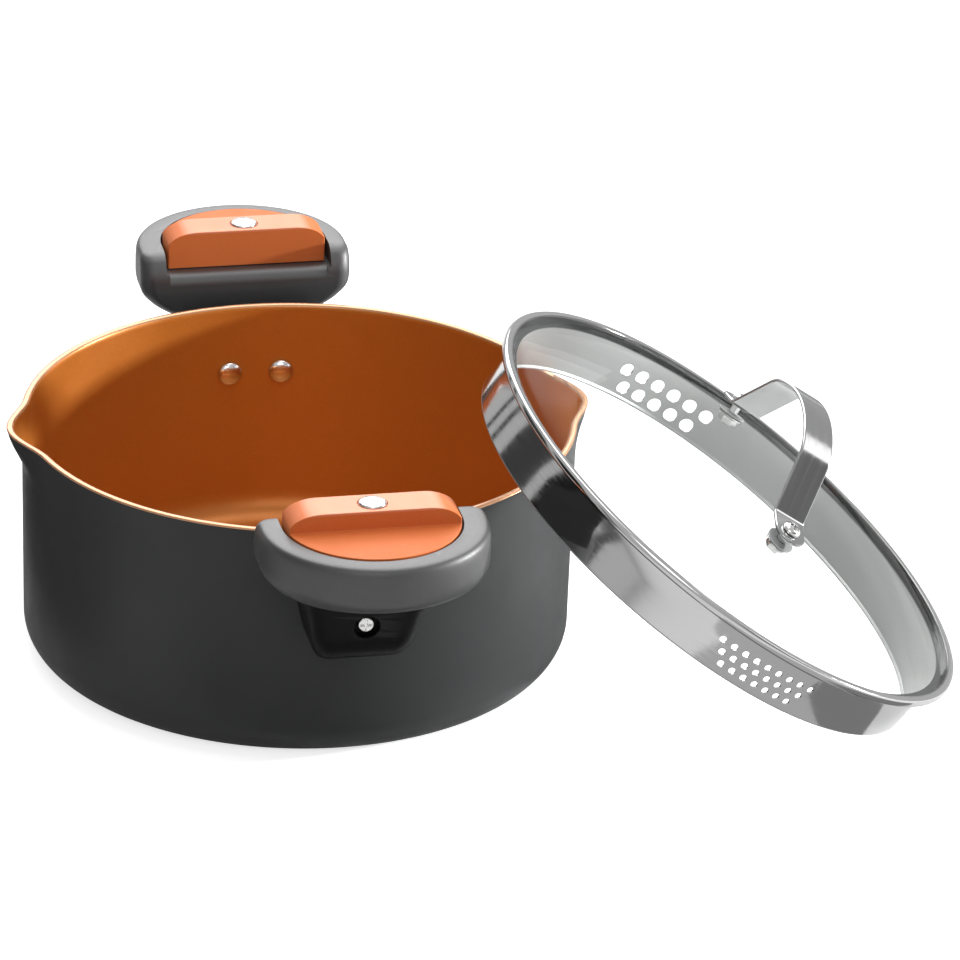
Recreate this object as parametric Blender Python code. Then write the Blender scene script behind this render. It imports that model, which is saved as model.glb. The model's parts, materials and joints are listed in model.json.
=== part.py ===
"""Pasta pot with a strainer lid: one object for each physical piece, in metres, Z up.
The pot stands on Z = 0 with its axis on Z and its pouring spouts along X; the handles are on -Y and +Y.
The lid leans beside the pot on +X, as in the photo."""

import math

import bmesh
import bpy
from mathutils import Matrix, Vector

GAP = 0.0003

# Pot
BASE_RADIUS = 0.1219
RIM_FLARE = 0.0011
RIM_RADIUS = BASE_RADIUS + RIM_FLARE
POT_HEIGHT = 0.1105
BASE_CORNER = 0.0154
WALL = 0.0030
FLOOR = 0.0035
LIP = 0.0006
SPOUT_REACH = 0.0074
SPOUT_HALF_ANGLE = math.radians(15)
SPOUT_DEPTH = 0.0220
SPOUT_LEVELS = (1.0, 0.75, 0.50, 0.25, 0.077)

# Handles: heights are above the top of the pot, and distances are from the pivot
PIVOT_REACH = 0.0310
PIVOT_RADIUS = RIM_RADIUS + PIVOT_REACH
HANDLE_SHIFT = 0.0018
GRIP_HALF_WIDTH = 0.0492
GRIP_OFFSET = -0.0010
GRIP_REACH = 0.0475
GRIP_CORNER = 0.0065
GRIP_BOTTOM = -0.0110
GRIP_FLOOR = 0.0092
GRIP_FLOOR_Z = POT_HEIGHT + GRIP_FLOOR
GRIP_BOTTOM_Z = POT_HEIGHT + GRIP_BOTTOM
KNOB_RADIUS = 0.0376
KNOB_CLEARANCE = 0.0008
KNOB_DISC = 0.0093
KNOB_RIDGE = 0.0082
KNOB_CHORD = 0.0085
KNOB_BOTTOM_Z = GRIP_FLOOR_Z + GAP
KNOB_LOW_Z = KNOB_BOTTOM_Z + KNOB_DISC
KNOB_TOP_Z = KNOB_LOW_Z + KNOB_RIDGE
RIDGE_END_X = 0.0150
RIDGE_END_Z = 0.0088
PIN_RADIUS = 0.0030
PIN_CAP_RADIUS = 0.0060
PIN_CAP_RISE = 0.0016
PIN_SINK = 0.0004
PIVOT_WASHER_RADIUS = 0.0078
PIVOT_WASHER = 0.0009
PIVOT_NUT_CORNER = 0.0060
PIVOT_NUT = 0.0038
PIVOT_NUT_Z = GRIP_BOTTOM_Z + 0.0075
RIVET_X = 0.0120
RIVET_RADIUS = 0.0025
RIVET_HEAD = 0.0056
RIVET_HEAD_RISE = 0.0020
RIVET_SEAT = 0.0006
RIVET_LENGTH = 0.0128
FIXING_DROP = 0.0330
RIVET_Z = POT_HEIGHT - FIXING_DROP
SCREW_Z = POT_HEIGHT - FIXING_DROP
SCREW_RADIUS = 0.0020
SCREW_HEAD = 0.0040
SCREW_END = -0.0240
SCREW_SEAT = -0.0092
SCREW_FACE = -0.0056
RECESS_RADIUS = 0.0058

# Lid, in its own frame: heights are above the top of the steel bead
SKIRT_RADIUS = 0.1177
SKIRT_DEPTH = 0.0274
SKIRT_WALL = 0.0010
SKIRT_CURL = 0.0008
SKIRT_EDGE = 0.0005
BEAD_RADIUS = SKIRT_RADIUS + 0.0073
BEAD_DEPTH = 0.0038
BEAD_ROUND = 0.0010
GLASS_RADIUS = SKIRT_RADIUS + 0.0026
GLASS_THICKNESS = 0.0036
GLASS_RING = 0.0038
GLASS_EDGE = 0.0024
DOME_REACH = GLASS_RADIUS - 0.0193
DOME_RADIUS = 0.2759
DOME_HEIGHT = 0.0260
HOLE_RADIUS_BIG = 0.00325
HOLE_RADIUS_SMALL = 0.00155
HOLE_REACH = 0.0040
STRAP_HALF_WIDTH = 0.0081
STRAP_THICKNESS = 0.0015
STRAP_TOP = 0.0572
STRAP_CROWN = 0.0080
STRAP_CORNER_X = 0.0292
STRAP_SHOULDER = 0.0120
STRAP_BEND = 0.0030
STRAP_SEAT = 0.0011
FOOT_X = 0.0550
FOOT_RUN = 0.0090
PAD_RADIUS = 0.0070
SEAL_RADIUS = 0.0066
LID_WASHER_RADIUS = 0.0062
LID_NUT_CORNER = 0.0046
LID_SCREW_RADIUS = 0.0022
LID_SCREW_HEAD = 0.0042
LID_SCREW_RISE = 0.0022
LID_AZIMUTH = math.radians(-11.306)
LID_SPIN = math.radians(10.388)
LID_OUT = 0.05566
LID_SIDE = -0.07877
LID_FOOT_Z = 0.00035
LID_REST = 0.0007

COLOURS = {
    "copper": (0.55, 0.20, 0.07, 1.0, 0.35),
    "dark": (0.045, 0.045, 0.05, 0.6, 0.4),
    "grey": (0.17, 0.17, 0.19, 0.0, 0.6),
    "black": (0.01, 0.01, 0.01, 0.0, 0.5),
    "knob": (0.75, 0.30, 0.16, 0.6, 0.35),
    "steel": (0.65, 0.65, 0.66, 1.0, 0.2),
    "glass": (0.85, 0.92, 0.92, 0.0, 0.05),
    "rubber": (0.03, 0.03, 0.03, 0.0, 0.8),
}


def clear_scene():
    for obj in list(bpy.data.objects):
        bpy.data.objects.remove(obj, do_unlink=True)


def make(name, verts, faces, colour="steel"):
    """One mesh object with outward faces and its own material."""
    mesh = bpy.data.meshes.new(name)
    mesh.from_pydata([tuple(v) for v in verts], [], faces)
    bm = bmesh.new()
    bm.from_mesh(mesh)
    bmesh.ops.recalc_face_normals(bm, faces=bm.faces)
    if bm.calc_volume(signed=True) < 0:
        bmesh.ops.reverse_faces(bm, faces=bm.faces)
    bm.to_mesh(mesh)
    bm.free()
    obj = bpy.data.objects.new(name, mesh)
    bpy.context.scene.collection.objects.link(obj)
    red, green, blue, metal, rough = COLOURS[colour]
    mat = bpy.data.materials.new(name)
    mat.use_nodes = True
    shader = mat.node_tree.nodes["Principled BSDF"]
    shader.inputs["Base Color"].default_value = (red, green, blue, 1)
    shader.inputs["Metallic"].default_value = metal
    shader.inputs["Roughness"].default_value = rough
    mat.diffuse_color = (red, green, blue, 1)
    mesh.materials.append(mat)
    return obj


def cut(obj, cutters, operation="DIFFERENCE"):
    """Applies the Booleans to obj and removes the cutters."""
    for cutter in cutters:
        modifier = obj.modifiers.new("cut", "BOOLEAN")
        modifier.operation = operation
        modifier.solver = "EXACT"
        modifier.object = cutter
    bpy.context.view_layer.update()
    graph = bpy.context.evaluated_depsgraph_get()
    result = bpy.data.meshes.new_from_object(obj.evaluated_get(graph))
    obj.modifiers.clear()
    obj.data = result
    for cutter in cutters:
        bpy.data.objects.remove(cutter, do_unlink=True)
    return obj


def lathe(name, profile, angles, place=None, colour="steel", closed=False, bulge=None):
    """Turns (r, z) points about Z. r = 0 makes a pole. A closed profile is a ring such as a washer."""
    place = place or Matrix.Identity(4)
    verts, rings = [], []
    for r, z in profile:
        if r < 1e-9:
            rings.append([len(verts)])
            verts.append(place @ Vector((0, 0, z)))
            continue
        rings.append(list(range(len(verts), len(verts) + len(angles))))
        for angle in angles:
            reach = r + (bulge(angle, z) if bulge else 0.0)
            verts.append(place @ Vector((reach * math.cos(angle), reach * math.sin(angle), z)))
    faces = []
    pairs = list(zip(rings, rings[1:]))
    if closed:
        pairs.append((rings[-1], rings[0]))
    for low, high in pairs:
        count = len(angles)
        for i in range(count):
            j = (i + 1) % count
            if len(low) == 1 and len(high) > 1:
                faces.append((low[0], high[i], high[j]))
            elif len(high) == 1 and len(low) > 1:
                faces.append((low[i], low[j], high[0]))
            elif len(low) > 1:
                faces.append((low[i], low[j], high[j], high[i]))
    return make(name, verts, faces, colour)


def turns(count, start=0.0):
    return [start + 2 * math.pi * i / count for i in range(count)]


def rod(name, radius, low, high, sides=20, place=None, colour="steel"):
    return lathe(name, [(0, low), (radius, low), (radius, high), (0, high)], turns(sides), place, colour)


def washer(name, inner, outer, low, high, sides=28, place=None, colour="steel"):
    profile = [(inner, low), (outer, low), (outer, high), (inner, high)]
    return lathe(name, profile, turns(sides), place, colour, closed=True)


def hex_nut(name, bore, corner, low, high, place):
    nut = rod(name, corner, low, high, 6, place)
    return cut(nut, [rod("bore", bore, low - 0.001, high + 0.001, 16, place)])


def loft(name, loops, colour="grey", place=None):
    """Joins loops of equal count with sides and closes both ends."""
    place = place or Matrix.Identity(4)
    verts = [place @ Vector(p) for loop in loops for p in loop]
    count = len(loops[0])
    faces = [tuple(range(count)), tuple(range(count * (len(loops) - 1), count * len(loops)))]
    for k in range(len(loops) - 1):
        for i in range(count):
            j = (i + 1) % count
            faces.append((k * count + i, k * count + j, (k + 1) * count + j, (k + 1) * count + i))
    return make(name, verts, faces, colour)


def box(name, low, high, place=None, colour="steel"):
    x0, y0, z0 = low
    x1, y1, z1 = high
    loops = [[(x0, y0, z), (x1, y0, z), (x1, y1, z), (x0, y1, z)] for z in (z0, z1)]
    return loft(name, loops, colour, place)


def arc(cx, cy, rx, ry, start, end, steps):
    """Points on an ellipse from start to end, in degrees, both included."""
    found = []
    for i in range(steps + 1):
        t = math.radians(start + (end - start) * i / steps)
        found.append((cx + rx * math.cos(t), cy + ry * math.sin(t)))
    return found


# The pot


def pot_angles():
    """Even turns, closer together across the two spouts."""
    found = []
    for centre in (0.0, math.pi):
        for i in range(-5, 6):
            found.append(centre + SPOUT_HALF_ANGLE * i / 5)
    start, end = SPOUT_HALF_ANGLE, math.pi - SPOUT_HALF_ANGLE
    for k in range(1, 20):
        angle = start + (end - start) * k / 20
        found += [angle, angle + math.pi]
    return sorted(a % (2 * math.pi) for a in found)


def spout(angle, z):
    """How far a spout pushes the wall out."""
    away = min(abs((angle + math.pi) % (2 * math.pi) - math.pi), abs(angle % (2 * math.pi) - math.pi))
    if away >= SPOUT_HALF_ANGLE:
        return 0.0
    rise = (z - (POT_HEIGHT - SPOUT_DEPTH)) / SPOUT_DEPTH
    rise = min(max(rise, 0.0), 1.0)
    rise = rise * rise * (3 - 2 * rise)
    return SPOUT_REACH * rise * 0.5 * (1 + math.cos(math.pi * away / SPOUT_HALF_ANGLE))


def wall_radius(z):
    """Outer radius of the straight wall, which leans out a little."""
    lean = RIM_FLARE - GAP
    return BASE_RADIUS + lean * (z - BASE_CORNER) / (POT_HEIGHT - BASE_CORNER)


def make_pot():
    outer = [(0, 0)]
    outer += arc(BASE_RADIUS - BASE_CORNER, BASE_CORNER, BASE_CORNER, BASE_CORNER, -90, 0, 6)
    levels = [POT_HEIGHT - SPOUT_DEPTH * share for share in SPOUT_LEVELS]
    outer += [(wall_radius(z), z) for z in levels]
    rim = [(RIM_RADIUS, POT_HEIGHT - LIP), (RIM_RADIUS - LIP, POT_HEIGHT)]
    rim += [(RIM_RADIUS - WALL + LIP, POT_HEIGHT), (RIM_RADIUS - WALL, POT_HEIGHT - LIP)]
    inner = [(wall_radius(z) - WALL, z) for z in reversed(levels)]
    corner = BASE_CORNER - 0.0010
    centre_z = FLOOR + corner
    inner += arc(wall_radius(centre_z) - WALL - corner, centre_z, corner, corner, 0, -90, 5)
    pot = lathe("pot_body", outer + rim + inner + [(0, FLOOR)], pot_angles(), colour="copper", bulge=spout)
    return cut(pot, [rivet_hole(side, k) for side in (-1, 1) for k in (-1, 1)])


def rivet_place(side, k):
    """Local Z runs outward from the pot axis, through the wall at the rivet."""
    wall = wall_radius(RIVET_Z) - WALL
    angle = side * (math.pi / 2 - math.asin(HANDLE_SHIFT / wall)) + k * math.asin(RIVET_X / wall)
    out = Vector((math.cos(angle), math.sin(angle), 0))
    across = Vector((-math.sin(angle), math.cos(angle), 0))
    turn = Matrix((across, Vector((0, 0, 1)), out)).transposed().to_4x4()
    return Matrix.Translation((0, 0, RIVET_Z)) @ turn


def rivet_ends():
    """Distance from the pot's axis of the back of the head and of the far end."""
    seat = wall_radius(RIVET_Z) - WALL - RIVET_SEAT
    return seat, seat + RIVET_LENGTH


def rivet_hole(side, k):
    seat, end = rivet_ends()
    return rod("hole", RIVET_RADIUS + GAP, seat - WALL, end + 2 * GAP, 14, rivet_place(side, k))


# One handle. Local frame: origin on the pivot at Z = 0, x along the pot wall, y outward


def handle_place(side):
    if side < 0:
        turn = Matrix(((-1, 0, 0), (0, -1, 0), (0, 0, 1))).to_4x4()
    else:
        turn = Matrix.Identity(4)
    return Matrix.Translation((HANDLE_SHIFT, side * PIVOT_RADIUS, 0)) @ turn


GRIP_SLICES = (
    # height above the pot, inset of the outline in front, inset at the ends, pot side
    (GRIP_BOTTOM, 0.0210, 0.0126, -0.0150),
    (-0.0085, 0.0148, 0.0089, -0.0160),
    (-0.0055, 0.0086, 0.0052, -0.0165),
    (-0.0015, 0.0025, 0.0015, -0.0168),
    (0.0025, 0.0003, 0.0002, -0.0168),
    (0.0085, 0.0000, 0.0000, -0.0165),
    (0.0137, 0.0003, 0.0003, -0.0142),
    (0.0159, 0.0014, 0.0014, -0.0118),
    (0.0173, 0.0040, 0.0040, -0.0098),
    (0.0183, 0.0080, 0.0080, -0.0080),
)


def grip_loop(height, front_inset, end_inset, pot_side):
    z = POT_HEIGHT + height
    half = GRIP_HALF_WIDTH - end_inset
    reach = GRIP_REACH - front_inset
    corner = min(GRIP_CORNER, -pot_side * 0.5)
    plan = arc(0, 0, half, reach, 0, 180, 18)
    plan += arc(-half + corner, pot_side + corner, corner, corner, 180, 270, 3)
    plan += arc(half - corner, pot_side + corner, corner, corner, 270, 360, 3)
    return [(x + GRIP_OFFSET, y, z) for x, y in plan]


def make_grip(name, place):
    grip = loft(name, [grip_loop(*row) for row in GRIP_SLICES], "grey", place)
    half = KNOB_RADIUS + KNOB_CLEARANCE
    plan = arc(0, 0, half, half, 0, 180, 26) + [(-half, -half), (half, -half)]
    loops = [[(x, y, z) for x, y in plan] for z in (GRIP_FLOOR_Z, KNOB_TOP_Z)]
    pocket = loft("pocket", loops, "grey", place)
    washer_seat = GRIP_FLOOR_Z - PIVOT_WASHER - GAP
    seat = rod("seat", PIVOT_WASHER_RADIUS + GAP, washer_seat, GRIP_FLOOR_Z + WALL, 22, place)
    bore = rod("bore", PIN_RADIUS + GAP, GRIP_BOTTOM_Z - WALL, KNOB_TOP_Z, 16, place)
    nut_top = PIVOT_NUT_Z + PIVOT_NUT + GAP
    nut_room = rod("nut_room", PIVOT_NUT_CORNER + KNOB_CLEARANCE, GRIP_BOTTOM_Z - WALL, nut_top, 18, place)
    return cut(grip, [pocket, seat, bore, nut_room])


def ridge_outline():
    """The ridge seen from outside: flat on top with long rounded ends."""
    half = KNOB_RADIUS + 0.001
    low = KNOB_BOTTOM_Z - 0.005
    spring = KNOB_TOP_Z - RIDGE_END_Z
    right = arc(KNOB_RADIUS - RIDGE_END_X, spring, RIDGE_END_X, RIDGE_END_Z, 90, 0, 8)
    left = [(-x, z) for x, z in reversed(right)]
    return left + right + [(half, spring), (half, low), (-half, low), (-half, spring)]


def make_knob(name, place):
    """A disc cut flat towards the pot, stepped down outside its ridge."""
    knob = rod(name, KNOB_RADIUS, KNOB_BOTTOM_Z, KNOB_TOP_Z + 0.002, 60, place, "knob")
    far = KNOB_RADIUS + 0.01
    outline = loft("outline", [[(x, y, z) for x, z in ridge_outline()] for y in (-far, far)], "knob", place)
    knob = cut(knob, [outline], "INTERSECT")
    under, over = GRIP_BOTTOM_Z, KNOB_TOP_Z + 0.01
    chord = box("chord", (-far, -far, under), (far, -KNOB_CHORD, over), place)
    step = box("step", (-far, KNOB_CHORD, KNOB_LOW_Z), (far, far, over), place)
    bore = rod("bore", PIN_RADIUS + GAP, under, over, 16, place)
    seat = rod("seat", PIN_CAP_RADIUS + 0.0004, KNOB_TOP_Z - PIN_SINK - GAP, over, 22, place)
    return cut(knob, [chord, step, bore, seat])


def make_pin(name, place):
    low = PIVOT_NUT_Z - 2 * GAP
    seat = KNOB_TOP_Z - PIN_SINK
    dome = arc(0, seat + 0.0005, PIN_CAP_RADIUS, PIN_CAP_RISE, 0, 90, 3)
    profile = [(0, low), (PIN_RADIUS, low), (PIN_RADIUS, seat), (PIN_CAP_RADIUS, seat)]
    profile += dome[:-1] + [(0, dome[-1][1])]
    return lathe(name, profile, turns(18), place, "steel")


BRACKET_SLICES = (
    # height above the pot, half width, front, corner
    (-0.0560, 0.0138, -0.0240, 0.0030),
    (-0.0535, 0.0175, -0.0170, 0.0050),
    (-0.0495, 0.0202, -0.0110, 0.0070),
    (-0.0425, 0.0226, -0.0065, 0.0080),
    (-0.0315, 0.0250, -0.0035, 0.0080),
    (-0.0215, 0.0274, -0.0005, 0.0080),
    (-0.0155, 0.0286, 0.0020, 0.0080),
    (GRIP_BOTTOM - GAP, 0.0292, 0.0030, 0.0080),
)


def bracket_loop(height, half, reach, corner):
    """Plan of the bracket, its back running into the pot wall, which is cut away later."""
    z = POT_HEIGHT + height
    back = -PIVOT_REACH - 0.0070
    plan = [(half, back)]
    plan += arc(half - corner, reach - corner, corner, corner, 0, 90, 4)
    plan += arc(-half + corner, reach - corner, corner, corner, 90, 180, 4)
    plan += [(-half, back)]
    return [(x, y, z) for x, y in plan]


def make_bracket(name, side, place):
    bracket = loft(name, [bracket_loop(*row) for row in BRACKET_SLICES], "black", place)
    levels = [BASE_CORNER, POT_HEIGHT - SPOUT_DEPTH, POT_HEIGHT]
    wall = [(0, BASE_CORNER)] + [(wall_radius(z) + GAP, z) for z in levels] + [(0, POT_HEIGHT)]
    cutters = [lathe("wall", wall, pot_angles())]
    cutters += [rivet_hole(side, k) for k in (-1, 1)]
    aim = screw_aim(place)
    cutters.append(rod("recess", RECESS_RADIUS, SCREW_SEAT - GAP, WALL, 18, aim))
    cutters.append(rod("thread", SCREW_RADIUS + GAP, SCREW_END - 0.0005, WALL, 14, aim))
    return cut(bracket, cutters)


def screw_aim(place):
    """Local Z runs outward along the screw from the pivot's axis."""
    return place @ Matrix.Translation((0, 0, SCREW_Z)) @ Matrix.Rotation(math.radians(-90), 4, "X")


def cross(size, half_width, low, place):
    """Two crossed bars that cut a screw's drive."""
    high = low + 0.004
    return [box("slot", (-half_width, -size, low), (half_width, size, high), place),
            box("slot", (-size, -half_width, low), (size, half_width, high), place)]


def make_grip_screw(name, place):
    aim = screw_aim(place)
    profile = [(0, SCREW_END), (SCREW_RADIUS, SCREW_END), (SCREW_RADIUS, SCREW_SEAT)]
    profile += [(SCREW_HEAD, SCREW_SEAT), (SCREW_HEAD, SCREW_FACE - 0.0020)]
    profile += [(SCREW_HEAD - 0.0004, SCREW_FACE - 0.0008), (SCREW_HEAD - 0.0016, SCREW_FACE - 0.0002)]
    profile += [(0, SCREW_FACE)]
    screw = lathe(name, profile, turns(16), aim, "steel")
    return cut(screw, cross(0.0027, 0.0006, SCREW_FACE - 0.0016, aim))


def make_rivet(name, side, k):
    seat, end = rivet_ends()
    head = arc(0, seat - 0.0004, RIVET_HEAD, RIVET_HEAD_RISE, 270, 360, 3)
    profile = [(0, head[0][1])] + head[1:]
    profile += [(RIVET_HEAD, seat), (RIVET_RADIUS, seat), (RIVET_RADIUS, end), (0, end)]
    return lathe(name, profile, turns(16), rivet_place(side, k), "steel")


def make_handle(side, word):
    place = handle_place(side)
    make_bracket(word + "_bracket", side, place)
    make_grip(word + "_grip", place)
    make_knob(word + "_knob", place)
    make_pin(word + "_pivot_pin", place)
    low, high = GRIP_FLOOR_Z - PIVOT_WASHER, GRIP_FLOOR_Z
    washer(word + "_pivot_washer", PIN_RADIUS + 2 * GAP, PIVOT_WASHER_RADIUS, low, high, 20, place)
    low, high = PIVOT_NUT_Z, PIVOT_NUT_Z + PIVOT_NUT
    hex_nut(word + "_pivot_nut", PIN_RADIUS + GAP, PIVOT_NUT_CORNER, low, high, place)
    make_grip_screw(word + "_bracket_screw", place)
    for k, tag in ((-1, "a"), (1, "b")):
        make_rivet(word + "_rivet_" + tag, side, k)


# The lid


def lid_axes(elevation):
    """The lid's own axes for this elevation of its axis: local x runs through both groups of holes."""
    n = Vector((math.cos(elevation) * math.cos(LID_AZIMUTH),
                math.cos(elevation) * math.sin(LID_AZIMUTH), math.sin(elevation)))
    u = Vector((0, 0, 1)).cross(n).normalized()
    v = n.cross(u)
    x = math.cos(LID_SPIN) * u + math.sin(LID_SPIN) * v
    return x, n.cross(x), n


def lid_centre(elevation):
    """The lid's centre, with its lowest edge just over the floor."""
    low = (SKIRT_RADIUS - SKIRT_EDGE) * math.cos(elevation) + SKIRT_DEPTH * math.sin(elevation)
    return Vector((RIM_RADIUS + LID_OUT, LID_SIDE, low + LID_FOOT_Z))


def rim_clearance(elevation):
    """Least distance from the skirt's edge to the top of the pot's lip."""
    x, y, n = lid_axes(elevation)
    centre = lid_centre(elevation)
    found = []
    edges = ((SKIRT_RADIUS - SKIRT_EDGE, SKIRT_DEPTH), (SKIRT_RADIUS, SKIRT_DEPTH - SKIRT_EDGE))
    for radius, depth in edges:
        for angle in turns(720):
            spot = centre + (x * math.cos(angle) + y * math.sin(angle)) * radius - n * depth
            r = math.hypot(spot.x, spot.y) - spout(math.atan2(spot.y, spot.x), POT_HEIGHT)
            side = max(r - RIM_RADIUS + LIP / 2, RIM_RADIUS - WALL + LIP / 2 - r)
            above = spot.z - POT_HEIGHT
            found.append(math.hypot(max(side, 0.0), max(above, 0.0)) + min(max(side, above), 0.0))
    return min(found)


def lid_elevation():
    """The lean at which the skirt's edge comes to rest on the pot's lip."""
    upright, flat = math.radians(40), math.radians(40.5)
    while rim_clearance(flat) > LID_REST and flat < math.radians(85):
        upright, flat = flat, flat + math.radians(0.5)
    for _ in range(16):
        middle = (upright + flat) / 2
        if rim_clearance(middle) > LID_REST:
            upright = middle
        else:
            flat = middle
    return upright


def lid_place():
    """The lid's own frame put into its leaning place."""
    elevation = lid_elevation()
    return Matrix.Translation(lid_centre(elevation)) @ Matrix(lid_axes(elevation)).transposed().to_4x4()


def hole_place(place, angle, depth):
    """Local Z runs outward through the skirt."""
    out = Vector((math.cos(angle), math.sin(angle), 0))
    across = Vector((-math.sin(angle), math.cos(angle), 0))
    turn = Matrix((across, Vector((0, 0, 1)), out)).transposed().to_4x4()
    return place @ Matrix.Translation((0, 0, -depth)) @ turn


def strainer_holes():
    """(angle, depth, radius) of each hole: big ones on +x, small ones on -x."""
    found = []
    for count, depth in ((6, 0.0128), (5, 0.0214)):
        for i in range(count):
            found.append((math.radians(4.60 * (i - (count - 1) / 2)), depth, HOLE_RADIUS_BIG))
    for count, depth in ((9, 0.0127), (8, 0.0175), (7, 0.0223)):
        for i in range(count):
            found.append((math.pi + math.radians(2.96 * (i - (count - 1) / 2)), depth, HOLE_RADIUS_SMALL))
    return found


def make_band(place):
    inner = SKIRT_RADIUS - SKIRT_WALL
    rebate = GLASS_RADIUS + GAP
    ledge = -GLASS_EDGE - 2 * GAP
    low = -SKIRT_DEPTH
    profile = [(SKIRT_RADIUS, low + SKIRT_EDGE), (SKIRT_RADIUS, -BEAD_DEPTH)]
    profile += [(BEAD_RADIUS - 0.0006, -BEAD_DEPTH), (BEAD_RADIUS, -BEAD_DEPTH + BEAD_ROUND)]
    profile += [(BEAD_RADIUS, -1.6 * BEAD_ROUND), (BEAD_RADIUS - BEAD_ROUND, 0.0), (rebate + 0.0007, 0.0)]
    profile += [(rebate, -BEAD_ROUND), (rebate, ledge), (inner, ledge), (inner, low + 0.0014)]
    profile += [(inner - SKIRT_CURL, low + SKIRT_CURL), (inner - SKIRT_CURL, low)]
    profile += [(SKIRT_RADIUS - SKIRT_EDGE, low)]
    band = lathe("lid_band", profile, turns(66), place, "steel", closed=True)
    verts, faces = [], []
    for angle, depth, radius in strainer_holes():
        sides = 12 if radius > 0.002 else 8
        aim = hole_place(place, angle, depth)
        base = len(verts)
        for reach in (SKIRT_RADIUS - HOLE_REACH, SKIRT_RADIUS + HOLE_REACH):
            for t in turns(sides):
                verts.append(aim @ Vector((radius * math.cos(t), radius * math.sin(t), reach)))
        faces.append(tuple(range(base, base + sides)))
        faces.append(tuple(range(base + sides, base + 2 * sides)))
        for i in range(sides):
            j = (i + 1) % sides
            faces.append((base + i, base + j, base + sides + j, base + sides + i))
    return cut(band, [make("holes", verts, faces)])


def dome(r, radius):
    """Height of the dome's surface of this radius at distance r from the axis."""
    return DOME_HEIGHT - DOME_RADIUS + math.sqrt(radius * radius - r * r)


def foot_place(place, side):
    """Local Z is the glass's own normal at the strap's screw, from its outer surface."""
    tilt = math.asin(FOOT_X / DOME_RADIUS)
    spot = Matrix.Translation((side * FOOT_X, 0, dome(FOOT_X, DOME_RADIUS)))
    turn = Matrix.Identity(4) if side > 0 else Matrix.Rotation(math.pi, 4, "Z")
    return place @ spot @ turn @ Matrix.Rotation(tilt, 4, "Y")


def make_glass(place):
    steps = [DOME_REACH * share for share in (0.0, 0.24, 0.445, 0.645, 0.83, 1.0)]
    under = -GLASS_EDGE - GAP
    profile = [(r, dome(r, DOME_RADIUS)) for r in steps]
    profile += [(GLASS_RADIUS - GLASS_RING, -GAP), (GLASS_RADIUS - 0.0006, -GAP), (GLASS_RADIUS, -0.0009)]
    profile += [(GLASS_RADIUS, under), (GLASS_RADIUS - GLASS_RING - 0.0015, under)]
    profile += [(r, dome(r, DOME_RADIUS - GLASS_THICKNESS)) for r in reversed(steps)]
    glass = lathe("lid_glass", profile, turns(60), place, "glass")
    bore = LID_SCREW_RADIUS + 2 * GAP
    reach = 2 * GLASS_THICKNESS
    return cut(glass, [rod("hole", bore, -reach, reach, 16, foot_place(place, s)) for s in (-1, 1)])


def rounded(points, radii):
    """A path of straight runs with each corner turned into a short arc."""
    found = [points[0]]
    for before, here, after, radius in zip(points, points[1:], points[2:], radii):
        here = Vector(here)
        back = (Vector(before) - here).normalized()
        ahead = (Vector(after) - here).normalized()
        half = back.angle(ahead) / 2
        run = radius / math.tan(half)
        centre = here + (back + ahead).normalized() * (radius / math.sin(half))
        first, last = here + back * run - centre, here + ahead * run - centre
        for i in range(5):
            t = i / 4
            found.append(tuple(centre + (first * (1 - t) + last * t).normalized() * radius))
    found.append(points[-1])
    return found


def strap_path():
    """(x, z) of the strap's middle line from the middle of its arch to the +x foot's end."""
    tilt = math.asin(FOOT_X / DOME_RADIUS)
    along = Vector((math.cos(tilt), -math.sin(tilt)))
    up = Vector((math.sin(tilt), math.cos(tilt)))
    hole = Vector((FOOT_X, dome(FOOT_X, DOME_RADIUS))) + up * (STRAP_SEAT + STRAP_THICKNESS / 2)
    shares = (0.0, 0.21, 0.42, 0.63, 0.84)
    arch = [(STRAP_CORNER_X * share, STRAP_TOP - STRAP_CROWN * share ** 2) for share in shares]
    top_corner = (STRAP_CORNER_X, STRAP_TOP - STRAP_CROWN)
    foot_corner = tuple(hole - along * FOOT_RUN)
    foot_start = tuple(hole - along * FOOT_RUN * 0.45)
    bend = rounded([arch[-1], top_corner, foot_corner, foot_start], [STRAP_SHOULDER, STRAP_BEND])
    return arch[:-1] + bend, hole, along


def make_strap(place):
    path, hole, along = strap_path()
    rows = [(x, z, STRAP_HALF_WIDTH) for x, z in path]
    for i in range(7):
        t = math.radians(min(15 * i, 82))
        spot = hole + along * (STRAP_HALF_WIDTH * math.sin(t))
        rows.append((spot.x, spot.y, STRAP_HALF_WIDTH * math.cos(t)))
    rows = [(-x, z, w) for x, z, w in reversed(rows[1:])] + rows
    loops = []
    for k, (x, z, w) in enumerate(rows):
        ahead = rows[min(k + 1, len(rows) - 1)]
        behind = rows[max(k - 1, 0)]
        run = Vector((ahead[0] - behind[0], ahead[1] - behind[1])).normalized()
        lift = Vector((-run.y, run.x)) * (STRAP_THICKNESS / 2)
        loops.append([(x + s * lift.x, y, z + s * lift.y) for y, s in ((-w, -1), (w, -1), (w, 1), (-w, 1))])
    strap = loft("lid_strap", loops, "steel", place)
    bore = LID_SCREW_RADIUS + GAP
    high = STRAP_SEAT + 2 * STRAP_THICKNESS
    return cut(strap, [rod("hole", bore, STRAP_SEAT / 2, high, 16, foot_place(place, s)) for s in (-1, 1)])


def under_glass():
    """Heights along the screw: top and bottom of the seal, the washer and the nut, then the screw's end."""
    seal = (-GLASS_THICKNESS - GAP, -GLASS_THICKNESS - 0.0011)
    steel = (seal[1] - GAP, seal[1] - 0.0013)
    nut = (steel[1] - GAP, steel[1] - 0.0033)
    return seal, steel, nut, nut[1] - 0.0005


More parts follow.
